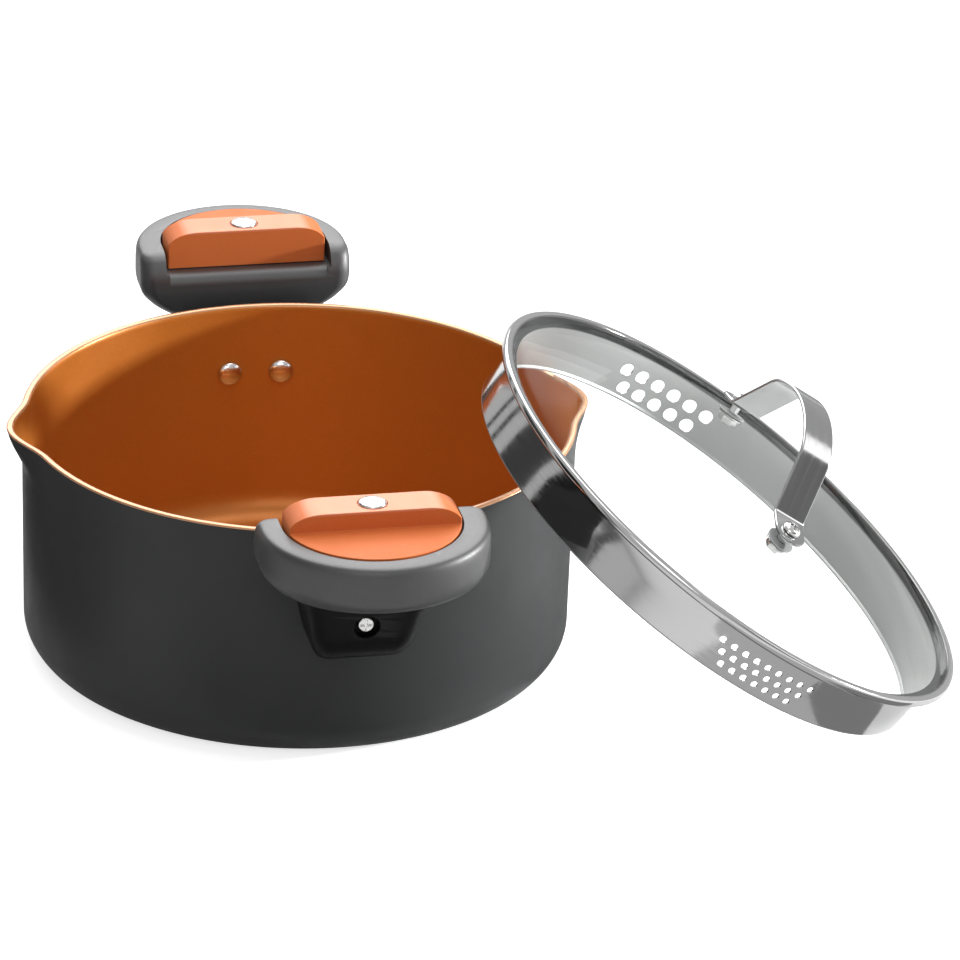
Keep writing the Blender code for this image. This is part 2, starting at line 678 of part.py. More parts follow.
def make_lid_screw(name, place):
    """Round cross-head screw from above the strap to below the glass."""
    low = under_glass()[3]
    seat = STRAP_SEAT + STRAP_THICKNESS + GAP
    head = arc(0, seat + 0.0005, LID_SCREW_HEAD, LID_SCREW_RISE, 0, 90, 3)
    profile = [(0, low), (LID_SCREW_RADIUS, low), (LID_SCREW_RADIUS, seat), (LID_SCREW_HEAD, seat)]
    profile += head[:-1] + [(0, head[-1][1])]
    screw = lathe(name, profile, turns(16), place)
    return cut(screw, cross(0.0024, 0.0005, seat + 0.0011, place))


def make_lid_fixings(place):
    seal, steel, nut, _ = under_glass()
    bore = LID_SCREW_RADIUS + GAP
    for side, tag in ((1, "a"), (-1, "b")):
        foot = foot_place(place, side)
        washer("lid_pad_" + tag, bore, PAD_RADIUS, GAP, STRAP_SEAT - GAP, 18, foot, "rubber")
        washer("lid_seal_" + tag, bore, SEAL_RADIUS, seal[1], seal[0], 18, foot, "rubber")
        washer("lid_washer_" + tag, bore, LID_WASHER_RADIUS, steel[1], steel[0], 18, foot)
        hex_nut("lid_nut_" + tag, bore, LID_NUT_CORNER, nut[1], nut[0], foot)
        make_lid_screw("lid_screw_" + tag, foot)


def main():
    clear_scene()
    make_pot()
    make_handle(-1, "front")
    make_handle(1, "back")
    place = lid_place()
    make_band(place)
    make_glass(place)
    make_strap(place)
    make_lid_fixings(place)
    bpy.context.view_layer.update()


main()
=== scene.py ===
"""Looks of a pasta pot with its strainer lid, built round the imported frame. Metres, Z up.
The pot stands on Z = 0 with its axis on Z and its spouts along X; the handles are on -Y and +Y.
The lid leans beside the pot on +X, and its pieces are made in the lid's own frame."""

import json
import math

import bmesh
import bpy
from mathutils import Matrix, Vector

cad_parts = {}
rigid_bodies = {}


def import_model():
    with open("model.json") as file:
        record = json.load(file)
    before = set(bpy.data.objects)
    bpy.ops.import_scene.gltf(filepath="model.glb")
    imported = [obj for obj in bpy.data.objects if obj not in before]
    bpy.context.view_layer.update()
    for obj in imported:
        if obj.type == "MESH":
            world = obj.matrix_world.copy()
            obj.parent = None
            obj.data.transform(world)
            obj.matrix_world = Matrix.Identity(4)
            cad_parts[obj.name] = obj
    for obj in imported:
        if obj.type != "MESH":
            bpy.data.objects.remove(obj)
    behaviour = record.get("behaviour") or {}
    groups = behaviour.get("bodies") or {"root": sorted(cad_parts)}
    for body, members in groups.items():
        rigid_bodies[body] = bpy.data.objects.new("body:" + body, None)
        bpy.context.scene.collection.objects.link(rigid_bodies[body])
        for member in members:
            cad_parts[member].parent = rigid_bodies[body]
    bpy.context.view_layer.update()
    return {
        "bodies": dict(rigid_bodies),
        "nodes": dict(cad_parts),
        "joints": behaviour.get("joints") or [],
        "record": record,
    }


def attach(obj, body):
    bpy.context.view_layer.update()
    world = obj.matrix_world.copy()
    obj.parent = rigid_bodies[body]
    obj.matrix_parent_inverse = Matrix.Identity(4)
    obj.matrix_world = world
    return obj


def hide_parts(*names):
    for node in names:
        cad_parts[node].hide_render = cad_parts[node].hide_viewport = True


SMOOTH_ANGLE = math.radians(35)
POLE_RADIUS = 1e-9

# Sides of the round shapes
POT_SIDES = 288
LID_SIDES = 300
GLASS_SIDES = 180
KNOB_SIDES = 128
FASTENER_SIDES = 64
BORE_SIDES = 48

# How far a cutter reaches past what it cuts
CUTTER_PAST = 0.002

# Pot
POT_HEIGHT = 0.1105
BASE_RADIUS = 0.1219
BASE_CORNER = 0.0154
INSIDE_CORNER = BASE_CORNER - 0.0010
WALL_TOP_RADIUS = 0.1227
WALL = 0.0030
FLOOR = 0.0035
SPOUT_REACH = 0.0074
SPOUT_HALF_ANGLE = math.radians(15)
SPOUT_DEPTH = 0.0220
SPOUT_LEAST_RADIUS = 0.11
LIP_DEPTH = 0.0013
LIP = (
    # radius, depth below the rim, from outside over the rim to inside
    (0.1230, 0.0009), (0.1230, 0.0006), (0.1228, 0.0003), (0.1224, 0.0001), (0.1219, 0.0),
    (0.1212, 0.0), (0.1206, 0.0001), (0.1202, 0.0004), (0.1199, 0.0009),
)

# Handles, each in a frame with its origin on the pivot, x along the wall and y outward
PIVOT_RADIUS = 0.1540
HANDLE_SHIFT = 0.0018
GRIP_HALF_WIDTH = 0.0492
GRIP_OFFSET = -0.0010
GRIP_REACH = 0.0475
GRIP_POT_SIDE = -0.0168
GRIP_CORNER = 0.0065
GRIP_TAPER_HEIGHT = 0.0055
GRIP_SIDE_TAPER = 0.6
GRIP_FLOOR_Z = POT_HEIGHT + 0.0092
GRIP_BOTTOM_Z = POT_HEIGHT - 0.0110
GRIP_SLICES = (
    # height above the rim, inset of the outline, pot side
    (-0.0110, 0.0210, -0.0150),
    (-0.0085, 0.0148, -0.0160),
    (-0.0055, 0.0086, -0.0165),
    (-0.0015, 0.0025, GRIP_POT_SIDE),
    (0.0025, 0.0003, GRIP_POT_SIDE),
    (0.0085, 0.0000, -0.0165),
    (0.0142, 0.0002, -0.0142),
    (0.0166, 0.0010, -0.0120),
    (0.0178, 0.0026, -0.0098),
    (0.0183, 0.0060, -0.0080),
)
POCKET_GAP = 0.0010
POCKET_OPEN_END = -0.0300
POCKET_NOSE = 0.0052
NUT_BORE_RADIUS = 0.0068
NUT_BORE_DEPTH = 0.0116
KNOB_RADIUS = 0.0376
KNOB_BOTTOM_Z = GRIP_FLOOR_Z + 0.0003
KNOB_LOW_Z = KNOB_BOTTOM_Z + 0.0093
KNOB_TOP_Z = KNOB_LOW_Z + 0.0082
KNOB_CHORD = 0.0085
RIDGE_END_WIDTH = 0.0150
RIDGE_END_DROP = 0.0088
PIN_RADIUS = 0.0030
PIN_END_Z = GRIP_BOTTOM_Z + 0.0069
PIN_CAP_RADIUS = 0.0060
PIN_CAP_DOME = 0.0016
PIN_SEAT_RADIUS = 0.0064
PIN_SEAT_DEPTH = 0.0007
BRACKET_CLEARANCE = 0.0003
BRACKET_BACK = -0.0380
BRACKET_SLICES = (
    # height above the rim, half width, front, corner
    (-0.0560, 0.0138, -0.0240, 0.0030),
    (-0.0535, 0.0175, -0.0170, 0.0050),
    (-0.0495, 0.0202, -0.0110, 0.0070),
    (-0.0425, 0.0226, -0.0065, 0.0080),
    (-0.0315, 0.0250, -0.0035, 0.0080),
    (-0.0215, 0.0274, -0.0005, 0.0080),
    (-0.0155, 0.0286, 0.0020, 0.0080),
    (-0.0113, 0.0292, 0.0030, 0.0080),
)
SCREW_Z = POT_HEIGHT - 0.0330
SCREW_RECESS_RADIUS = 0.0058
SCREW_RECESS_FLOOR = -0.0095
SLOT_HALF_WIDTH = 0.0006
RIVET_X = 0.0120
RIVET_Z = POT_HEIGHT - 0.0330
RIVET_WALL_RADIUS = 0.1195
RIVET_HEAD_RADIUS = 0.0056
RIVET_HEAD_DOME = 0.0020
RIVET_RADIUS = 0.0025

# Lid, in its own frame: z is the height above the top of the steel bead
SKIRT_RADIUS = 0.1177
SKIRT_DEPTH = 0.0274
SKIRT_WALL = 0.0010
SKIRT_MIDDLE_Z = -0.0140
BEAD_DEPTH = 0.0038
BEAD_CENTRE = (0.1238, -0.00195)
BEAD_HALF_WIDTH = 0.00084
BEAD_HALF_HEIGHT = 0.00185
SEAT_RADIUS = 0.1206
SEAT_Z = -0.0030
GLASS_RADIUS = 0.1203
GLASS_THICKNESS = 0.0036
GLASS_CORNER = 0.0006
DOME_RADIUS = 0.2759
DOME_HEIGHT = 0.0260
DOME_EDGE = 0.101
# Rows of strainer holes as (count, depth), and the radii that their cutters span
BIG_HOLE_ROWS = ((6, 0.0128), (5, 0.0214))
BIG_HOLE_RADIUS = 0.00325
BIG_HOLE_PITCH = math.radians(4.60)
SMALL_HOLE_ROWS = ((9, 0.0127), (8, 0.0175), (7, 0.0223))
SMALL_HOLE_RADIUS = 0.00155
SMALL_HOLE_PITCH = math.radians(2.96)
HOLE_CUTTER_SPAN = (0.1130, 0.1210)
STRAP_HALF_WIDTH = 0.0081
STRAP_THICKNESS = 0.0015
STRAP_EDGE = 0.00045
STRAP_TOP = 0.0572
STRAP_SAG = 0.0080
STRAP_REACH = 0.0292
STRAP_ARCH_REACH = 0.0225
STRAP_BENDS = (0.0160, 0.0030)
FOOT_X = 0.0550
FOOT_LIFT = 0.0011
FOOT_BEND_BACK = 0.0090
FOOT_FLAT_BACK = 0.004
LID_SCREW_RADIUS = 0.0022
LID_SCREW_HEAD = 0.0042
LID_RING_BORE = 0.0025
LID_NUT_RADIUS = 0.0046
LID_CENTRE = Vector((0.17866, -0.07877, 0.09046))
LID_AZIMUTH = math.radians(-11.306)
LID_ELEVATION = math.radians(54.684)
LID_SPIN = math.radians(10.388)

# Studio
WHITE = (1, 1, 1, 1)
ROOM_SIZE = 12.0
ROOM_DROP = 0.0005
ROOM_SHADE = 0.86
ROOM_GLOW = 0.70
ROOM_GLOSSY_SHARE = 0.05
WORLD_LIGHT = 0.38
WORLD_GLOSSY_SHARE = 0.3
LAMP_AIM = (0, 0, 0.08)
LAMPS = (
    # name, place, width, height, watts
    ("side", (1.88, -0.16, 0.34), 0.16, 0.10, 46),
    ("back", (0.12, 1.62, 0.92), 1.80, 0.75, 15),
    ("top", (0.20, 0.10, 1.70), 1.20, 1.00, 9),
    ("fill", (-0.25, -1.60, 1.10), 0.90, 0.70, 5),
)
CARD_AIM = (0.12, -0.12, 0.10)
CARD_DISTANCE = 1.10
STANDING_CARDS = (
    # name, azimuth, elevation, width, height, glow
    ("flag_left_a", 153, 14, 0.44, 0.60, 0.06),
    ("flag_left_b", -178, 14, 0.40, 0.60, 0.015),
    ("flag_left_c", -153, 12, 0.10, 0.50, 0.08),
    ("flag_left_d", 131, 9, 0.06, 0.50, 0.05),
    ("flag_left_e", 123, 7, 0.05, 0.50, 0.05),
    ("flag_right", -46, 12, 1.00, 0.46, 0.24),
    ("flag_shine", -2, 26, 0.62, 0.26, 2.2),
    ("flag_above", 82, 52, 1.30, 0.66, 5.0),
)
FLOOR_CARDS = (
    # name, x, y, z, width, height, glow
    ("flag_floor_left", -0.290, 0.130, 0.0, 0.27, 0.40, 0.02),
    ("flag_floor_front", 0.185, -0.270, 0.0, 0.20, 0.20, 0.55),
    # painted shadow: a dark card where the lid meets the floor, seen only in reflections
    ("flag_floor_lid_shadow", 0.250, -0.200, 0.0001, 0.07, 0.08, 0.26),
    ("flag_floor_right", 0.200, 0.045, 0.0, 0.12, 0.11, 0.25),
    ("flag_floor_foot", -0.020, -0.168, 0.0, 0.26, 0.075, 0.05),
    ("flag_floor_back", 0.480, 0.570, 0.0, 0.70, 0.80, 0.40),
    # painted shadow: a dark card by the foot of the pot's wall, seen only in reflections
    ("flag_floor_wall_shadow", 0.145, -0.100, 0.0, 0.09, 0.21, 0.25),
)
# name, width, height, place, a point it faces, glow
KNOB_CARD = ("flag_knob", 0.034, 0.020, (0.0745, -0.151, 0.1255), (0.20, -0.165, 0.160), 0.03)

# Camera, from a fit to the photograph
CAMERA_PLACE = Vector((-0.45428, -2.33706, 1.18387))
CAMERA_RIGHT = Vector((0.97725, -0.20976, 0.0312))
CAMERA_FORWARD = Vector((0.2032, 0.88411, -0.42078))
CAMERA_LENS = 221.25
CAMERA_SENSOR = 36


# Meshes


def new_object(name, verts, faces, place=None):
    """A mesh object with outward faces, shaded smooth except at sharp edges."""
    mesh = bpy.data.meshes.new(name)
    mesh.from_pydata([tuple(place @ Vector(v)) if place else tuple(v) for v in verts], [], faces)
    bm = bmesh.new()
    bm.from_mesh(mesh)
    bmesh.ops.recalc_face_normals(bm, faces=bm.faces)
    if bm.calc_volume(signed=True) < 0:
        bmesh.ops.reverse_faces(bm, faces=bm.faces)
    bm.to_mesh(mesh)
    bm.free()
    obj = bpy.data.objects.new(name, mesh)
    bpy.context.scene.collection.objects.link(obj)
    shade(obj)
    return obj


def shade(obj):
    """Smooth, but for the edges sharper than SMOOTH_ANGLE."""
    obj.data.shade_smooth()
    obj.data.set_sharp_from_angle(angle=SMOOTH_ANGLE)


def applied(obj):
    """Makes the result of the object's modifiers its mesh, and keeps that result's shading."""
    bpy.context.view_layer.update()
    graph = bpy.context.evaluated_depsgraph_get()
    result = bpy.data.meshes.new_from_object(obj.evaluated_get(graph))
    obj.modifiers.clear()
    obj.data = result
    return obj


def cut(obj, cutters, operation="DIFFERENCE"):
    """Cuts these objects from the first, or keeps what it shares with them, and deletes them."""
    for cutter in cutters:
        modifier = obj.modifiers.new("cut", "BOOLEAN")
        modifier.operation = operation
        modifier.solver = "EXACT"
        modifier.object = cutter
    shade(applied(obj))
    for cutter in cutters:
        bpy.data.objects.remove(cutter, do_unlink=True)


def soften(obj, width, segments=3, angle=40):
    """Rounds the edges sharper than this angle, and keeps the shading of flat faces flat."""
    modifier = obj.modifiers.new("soften", "BEVEL")
    modifier.width = width
    modifier.segments = segments
    modifier.limit_method = "ANGLE"
    modifier.angle_limit = math.radians(angle)
    shade(applied(obj))
    modifier = obj.modifiers.new("firm", "WEIGHTED_NORMAL")
    modifier.keep_sharp = True
    applied(obj)


def turns(count):
    """Even angles round a full turn."""
    return [2 * math.pi * i / count for i in range(count)]


def direction(azimuth, elevation):
    """Unit vector that points this way, both angles in radians."""
    level = math.cos(elevation)
    return Vector((level * math.cos(azimuth), level * math.sin(azimuth), math.sin(elevation)))


def between(low, high, count):
    """This many even steps from low up to high, without low itself."""
    return [low + (high - low) * i / count for i in range(1, count + 1)]


def arc(cx, cy, rx, ry, start, end, steps):
    """Points on an ellipse from start to end, in degrees, both included."""
    found = []
    for i in range(steps + 1):
        t = math.radians(start + (end - start) * i / steps)
        found.append((cx + rx * math.cos(t), cy + ry * math.sin(t)))
    return found


def curve_point(t, a, b, c, d):
    """The smooth curve through a, b, c and d, a share t of the way from b to c."""
    slope = c - a
    square = 2 * a - 5 * b + 4 * c - d
    cube = 3 * b - a - 3 * c + d
    return 0.5 * (2 * b + slope * t + square * t * t + cube * t ** 3)


def smooth_rows(rows, steps):
    """Rows of numbers with a smooth curve's points put in between."""
    found = []
    for i in range(len(rows) - 1):
        around = rows[max(i - 1, 0)], rows[i], rows[i + 1], rows[min(i + 2, len(rows) - 1)]
        for k in range(steps):
            found.append([curve_point(k / steps, *column) for column in zip(*around)])
    return found + [list(rows[-1])]


def lathe(name, profile, count, place=None, closed=False, bulge=None, zones=None):
    """Turns (r, z) points about Z. r = 0 makes a pole. zones gives each stretch's material slot."""
    verts, rings = [], []
    angles = turns(count)
    for r, z in profile:
        if r < POLE_RADIUS:
            rings.append([len(verts)])
            verts.append((0, 0, z))
            continue
        rings.append(list(range(len(verts), len(verts) + count)))
        for angle in angles:
            reach = r + (bulge(angle, z, r) if bulge else 0.0)
            verts.append((reach * math.cos(angle), reach * math.sin(angle), z))
    pairs = list(zip(rings, rings[1:]))
    if closed:
        pairs.append((rings[-1], rings[0]))
    faces, slots = [], []
    for k, (low, high) in enumerate(pairs):
        for i in range(count):
            j = (i + 1) % count
            if len(low) == 1:
                faces.append((low[0], high[i], high[j]))
            elif len(high) == 1:
                faces.append((low[i], low[j], high[0]))
            else:
                faces.append((low[i], low[j], high[j], high[i]))
            slots.append(zones[k] if zones else 0)
    obj = new_object(name, verts, faces, place)
    obj.data.polygons.foreach_set("material_index", slots)
    return obj


def rod(name, radius, low, high, sides=BORE_SIDES, place=None):
    """A closed cylinder about Z."""
    return lathe(name, [(0, low), (radius, low), (radius, high), (0, high)], sides, place)


def joined(loops, first=0):
    """Faces that join loops of equal count with sides and close both ends, from this vertex on."""
    count = len(loops[0])
    last = first + count * (len(loops) - 1)
    faces = [tuple(range(first, first + count)), tuple(range(last, last + count))]
    for base in range(first, last, count):
        for i in range(count):
            j = (i + 1) % count
            faces.append((base + i, base + j, base + count + j, base + count + i))
    return faces


def loft(name, loops, place=None):
    """A closed shape through loops of equal count."""
    return new_object(name, [p for loop in loops for p in loop], joined(loops), place)


def prism(name, outline, axis, low, high, place=None):
    """Pushes a flat outline from low to high along axis 0, 1 or 2."""
    return loft(name, [[(*p[:axis], level, *p[axis:]) for p in outline] for level in (low, high)], place)


def box(name, low, high, place=None):
    """A block between two opposite corners."""
    x0, y0, z0 = low
    x1, y1, z1 = high
    return prism(name, [(x0, y0), (x1, y0), (x1, y1), (x0, y1)], 2, z0, z1, place)


def sheet(name, width, height):
    """One flat rectangle, for the floor and the cards."""
    x, y = width / 2, height / 2
    return new_object(name, [(-x, -y, 0), (x, -y, 0), (x, y, 0), (-x, y, 0)], [(0, 1, 2, 3)])


# Materials


def grey(level):
    return level, level, level


class Nodes:
    """Short calls that make and join the nodes of one tree."""

    def __init__(self, tree):
        self.tree = tree

    def feed(self, socket, value):
        """Joins another node's socket to this one, or sets its value."""
        if isinstance(value, bpy.types.NodeSocket):
            self.tree.links.new(value, socket)
        else:
            socket.default_value = value

    def node(self, kind, **inputs):
        """A node with these inputs; an underscore in a name stands for a space."""
        made = self.tree.nodes.new(kind)
        for name, value in inputs.items():
            self.feed(made.inputs[name.replace("_", " ")], value)
        return made

    def math(self, operation, a, b=0.0):
        made = self.node("ShaderNodeMath")
        made.operation = operation
        self.feed(made.inputs[0], a)
        self.feed(made.inputs[1], b)
        return made.outputs[0]

    def spread(self, value, low, high, start=0.3, end=0.7):
        """Low where the value is at start, high where it is at end, and even between."""
        sides = {"From_Min": start, "From_Max": end, "To_Min": low, "To_Max": high}
        return self.node("ShaderNodeMapRange", Value=value, **sides).outputs[0]


class Paint(Nodes):
    """A procedural material: a Principled shader and what feeds it."""

    def __init__(self, name, colour, rough, metal=0.0, frame=None):
        self.frame = frame
        self.material = bpy.data.materials.new(name)
        self.material.use_nodes = True
        super().__init__(self.material.node_tree)
        self.shader = self.tree.nodes["Principled BSDF"]
        self.set("Base Color", (*colour, 1))
        self.set("Roughness", rough)
        self.set("Metallic", metal)
        self.material.diffuse_color = (*colour, 1)

    def set(self, name, value):
        self.shader.inputs[name].default_value = value

    def use(self, name, value):
        self.feed(self.shader.inputs[name], value)

    def show(self, output):
        """Makes this shader the material's surface."""
        self.feed(self.tree.nodes["Material Output"].inputs["Surface"], output)

    def place(self):
        """The point in the pot's frame, or in the frame that the paint was given."""
        point = self.node("ShaderNodeTexCoord").outputs["Object"]
        if self.frame is None:
            return point
        made = self.node("ShaderNodeMapping", Vector=point)
        made.vector_type = "TEXTURE"
        made.inputs["Location"].default_value = self.frame.to_translation()
        made.inputs["Rotation"].default_value = self.frame.to_euler()
        return made.outputs[0]

    def round_parts(self):
        """The point's angle, radius and height about the frame's Z."""
        parts = self.node("ShaderNodeSeparateXYZ", Vector=self.place())
        x, y, z = parts.outputs[0], parts.outputs[1], parts.outputs[2]
        square = self.math("ADD", self.math("MULTIPLY", x, x), self.math("MULTIPLY", y, y))
        return self.math("ARCTAN2", y, x), self.math("SQRT", square), z

    def round_place(self, along, across, up):
        """(angle, radius, height) as a vector, each scaled, for finishes that run round an axis."""
        scales = zip(self.round_parts(), (along, across, up))
        scaled = [self.math("MULTIPLY", part, by) for part, by in scales]
        return self.node("ShaderNodeCombineXYZ", X=scaled[0], Y=scaled[1], Z=scaled[2]).outputs[0]

    def noise(self, scale, detail=3.0, rough=0.5, vector=None):
        place = vector or self.place()
        made = self.node("ShaderNodeTexNoise", Vector=place, Scale=scale, Detail=detail, Roughness=rough)
        return made.outputs["Fac"]

    def blend(self, factor, first, second):
        made = self.node("ShaderNodeMix")
        made.data_type = "RGBA"
        self.feed(made.inputs["Factor"], factor)
        self.feed(made.inputs[6], (*first, 1) if isinstance(first, tuple) else first)
        self.feed(made.inputs[7], (*second, 1) if isinstance(second, tuple) else second)
        return made.outputs[2]

    def speckle(self, flake, amount, tint, pale):
        """The tint with paler flakes in it."""
        return self.blend(self.spread(flake, 0.0, amount, start=0.55, end=0.75), tint, pale)

    def worn(self, tint, pale, amount):
        """The tint, paler where an edge is rubbed."""
        pointed = self.node("ShaderNodeNewGeometry").outputs["Pointiness"]
        return self.blend(self.spread(pointed, 0.0, amount, start=0.52, end=0.60), tint, pale)

    def bump(self, height, strength, depth):
        made = self.node("ShaderNodeBump", Height=height, Strength=strength, Distance=depth)
        self.use("Normal", made.outputs[0])


def outside_paint():
    paint = Paint("pot_outside", (0.038, 0.038, 0.039), 0.42)
    paint.set("Specular IOR Level", 0.20)
    cloud = paint.noise(14.0, detail=4.0)
    grain = paint.noise(2600.0, detail=2.0)
    paint.use("Base Color", paint.blend(cloud, (0.033, 0.033, 0.034), (0.043, 0.043, 0.044)))
    paint.use("Roughness", paint.spread(paint.noise(60.0, detail=5.0), 0.38, 0.48))
    paint.bump(grain, strength=0.10, depth=0.0002)
    return paint.material


def lining_paint():
    paint = Paint("pot_lining", (0.59, 0.195, 0.025), 0.36, metal=0.35)
    cloud = paint.noise(9.0, detail=4.0)
    flake = paint.noise(1800.0, detail=2.0, rough=0.7)
    tint = paint.blend(cloud, (0.505, 0.165, 0.021), (0.585, 0.197, 0.027))
    paint.use("Base Color", paint.speckle(flake, 0.35, tint, (0.82, 0.34, 0.07)))
    paint.use("Roughness", paint.spread(paint.noise(45.0, detail=5.0), 0.31, 0.40))
    paint.bump(flake, strength=0.06, depth=0.0002)
    return paint.material


def rim_paint():
    """Copper-coloured metal, with fine lines round the pot's axis."""
    paint = Paint("pot_rim", (0.92, 0.72, 0.56), 0.28, metal=0.6)
    brushed = paint.noise(1.0, vector=paint.round_place(6.0, 900.0, 900.0))
    paint.use("Base Color", paint.blend(brushed, (0.52, 0.25, 0.13), (0.64, 0.36, 0.21)))
    paint.use("Roughness", paint.spread(brushed, 0.22, 0.36))
    return paint.material


def grip_paint():
    paint = Paint("grip", (0.018, 0.018, 0.020), 0.54)
    paint.set("Coat Weight", 0.35)
    paint.set("Coat Roughness", 0.42)
    paint.set("Specular IOR Level", 1.00)
    grain = paint.noise(1500.0)
    tint = paint.blend(paint.noise(30.0, detail=4.0), (0.014, 0.014, 0.016), (0.021, 0.021, 0.023))
    paint.use("Base Color", paint.worn(tint, (0.11, 0.11, 0.12), 0.35))
    paint.use("Roughness", paint.spread(grain, 0.48, 0.60))
    paint.bump(grain, strength=0.14, depth=0.0002)
    return paint.material


def bracket_paint():
    black = grey(0.007)
    paint = Paint("bracket", black, 0.42)
    paint.set("Specular IOR Level", 0.14)
    grain = paint.noise(900.0)
    paint.use("Base Color", paint.worn(black, grey(0.03), 0.5))
    paint.use("Roughness", paint.spread(grain, 0.33, 0.45))
    paint.bump(grain, strength=0.12, depth=0.0002)
    return paint.material


def knob_paint():
    """Copper-coloured, and glossier on the ridge's flat top, which also has a painted highlight: a paler
    colour there.
    """
    paint = Paint("knob", (0.65, 0.168, 0.044), 0.46, metal=0.22)
    paint.set("Specular IOR Level", 0.22)
    flake = paint.noise(2200.0, detail=2.0, rough=0.7)
    tint = paint.blend(paint.noise(40.0, detail=4.0), (0.62, 0.155, 0.038), (0.68, 0.181, 0.051))
    height = paint.round_parts()[2]
    # painted highlight on the ridge's flat top: a paler colour there, and a lower roughness
    crest_highlight_and_gloss = paint.spread(height, 0.0, 1.0, start=KNOB_TOP_Z - 0.0013, end=KNOB_TOP_Z - 0.0003)
    tint = paint.blend(crest_highlight_and_gloss, tint, (0.74, 0.290, 0.165))
    paint.use("Base Color", paint.speckle(flake, 0.4, tint, (0.76, 0.30, 0.13)))
    rough = paint.spread(paint.noise(70.0, detail=4.0), 0.50, 0.60)
    paint.use("Roughness", paint.math("SUBTRACT", rough, paint.math("MULTIPLY", crest_highlight_and_gloss, 0.16)))
    paint.bump(flake, strength=0.08, depth=0.0002)
    return paint.material


def painted_crease_shade(paint):
    """Painted shade: 1 where the rolled bead turns under, and on the seat that the glass is bedded in; the
    steel is painted darker there.
    """
    radius, height = paint.round_parts()[1:]
    below_bead = paint.spread(height, 1.0, 0.0, start=-0.0036, end=-0.0027)
    outside_skirt = paint.spread(radius, 0.0, 1.0, start=0.1186, end=0.1200)
    inside_bead = paint.spread(radius, 1.0, 0.0, start=0.1208, end=0.1217)
    above_skirt = paint.spread(height, 0.0, 1.0, start=-0.0038, end=-0.0032)
    under = paint.math("MULTIPLY", below_bead, outside_skirt)
    return paint.math("MAXIMUM", under, paint.math("MULTIPLY", inside_bead, above_skirt))


def band_paint(name, frame, level, metal, low, high):
    """Spun steel with fine lines round the lid's axis, in two close shades, low to high rough, with painted
    shade, much darker, under the bead and on the glass seat.
    """
    paint = Paint(name, grey(level), low, metal, frame)
    brushed = paint.noise(1.0, vector=paint.round_place(9.0, 1400.0, 1400.0))
    tint = paint.blend(paint.noise(18.0), grey(0.94 * level), grey(1.06 * level))
    # painted shade: the steel goes down to 0.22 of its level under the bead and on the glass seat
    paint.use("Base Color", paint.blend(painted_crease_shade(paint), tint, grey(0.22 * level)))
    paint.use("Roughness", paint.spread(brushed, low, high))
    paint.bump(brushed, strength=0.03, depth=0.00005)
    return paint.material


def strap_paint(frame):
    """Rolled steel with fine lines along the strap."""
    paint = Paint("strap_steel", (0.46, 0.46, 0.465), 0.13, 1.0, frame)
    stretched = paint.node("ShaderNodeMapping", Vector=paint.place(), Scale=(8.0, 900.0, 8.0)).outputs[0]
    brushed = paint.noise(1.0, vector=stretched)
    paint.use("Base Color", paint.blend(paint.noise(40.0), (0.43, 0.43, 0.435), (0.49, 0.49, 0.495)))
    paint.use("Roughness", paint.spread(brushed, 0.10, 0.20))
    paint.bump(brushed, strength=0.05, depth=0.0001)
    return paint.material


def fastener_paint(name, low, high):
    """Bright metal, low to high rough."""
    paint = Paint(name, grey(0.78), low, metal=1.0)
    scuffs = paint.noise(900.0, detail=4.0)
    paint.use("Base Color", paint.blend(paint.noise(300.0), grey(0.72), (0.86, 0.85, 0.84)))
    paint.use("Roughness", paint.spread(scuffs, low, high))
    paint.bump(scuffs, strength=0.06, depth=0.0001)
    return paint.material


def seal_paint():
    paint = Paint("seal", grey(0.20), 0.6)
    grain = paint.noise(1200.0)
    paint.use("Base Color", paint.blend(grain, grey(0.17), grey(0.23)))
    paint.use("Roughness", paint.spread(grain, 0.62, 0.80))
    paint.bump(grain, strength=0.15, depth=0.0001)
    return paint.material


def glass_paint():
    """Clear glass, with a Transparent shader for the lamps' rays, which light what is behind it."""
    paint = Paint("lid_glass", (0.985, 0.995, 0.99), 0.0)
    paint.set("Transmission Weight", 1.0)
    paint.set("IOR", 1.0)
    paint.set("Coat Weight", 0.10)
    paint.set("Coat Roughness", 0.02)
    ripple = paint.noise(7.0, detail=2.0)
    paint.use("Roughness", paint.spread(ripple, 0.0, 0.015))
    paint.bump(ripple, strength=0.02, depth=0.0005)
    clear = paint.node("ShaderNodeBsdfTransparent", Color=(0.95, 0.97, 0.96, 1))
    choice = paint.node("ShaderNodeMixShader")
    paint.feed(choice.inputs[0], paint.node("ShaderNodeLightPath").outputs["Is Shadow Ray"])
    paint.feed(choice.inputs[1], paint.shader.outputs[0])
    paint.feed(choice.inputs[2], clear.outputs[0])
    paint.show(choice.outputs[0])
    return paint.material


def dress(obj, body, node, slot, *materials):
    """Gives a piece its materials and its body, and hides the solid that it stands for."""
    for material in materials:
        obj.data.materials.append(material)
    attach(obj, body)
    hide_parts(node)


# The pot


def wall_radius(z):
    """Outer radius of the straight wall, which leans out a little."""
    return BASE_RADIUS + (WALL_TOP_RADIUS - BASE_RADIUS) * (z - BASE_CORNER) / (POT_HEIGHT - BASE_CORNER)


def spout(angle, z, r):
    """How far a spout pushes the wall out."""
    away = min(abs((angle + math.pi) % (2 * math.pi) - math.pi), abs(angle % (2 * math.pi) - math.pi))
    if away >= SPOUT_HALF_ANGLE or r < SPOUT_LEAST_RADIUS:
        return 0.0
    rise = (z - (POT_HEIGHT - SPOUT_DEPTH)) / SPOUT_DEPTH
    rise = min(max(rise, 0.0), 1.0)
    rise = rise * rise * (3 - 2 * rise)
    return SPOUT_REACH * rise * 0.5 * (1 + math.cos(math.pi * away / SPOUT_HALF_ANGLE))


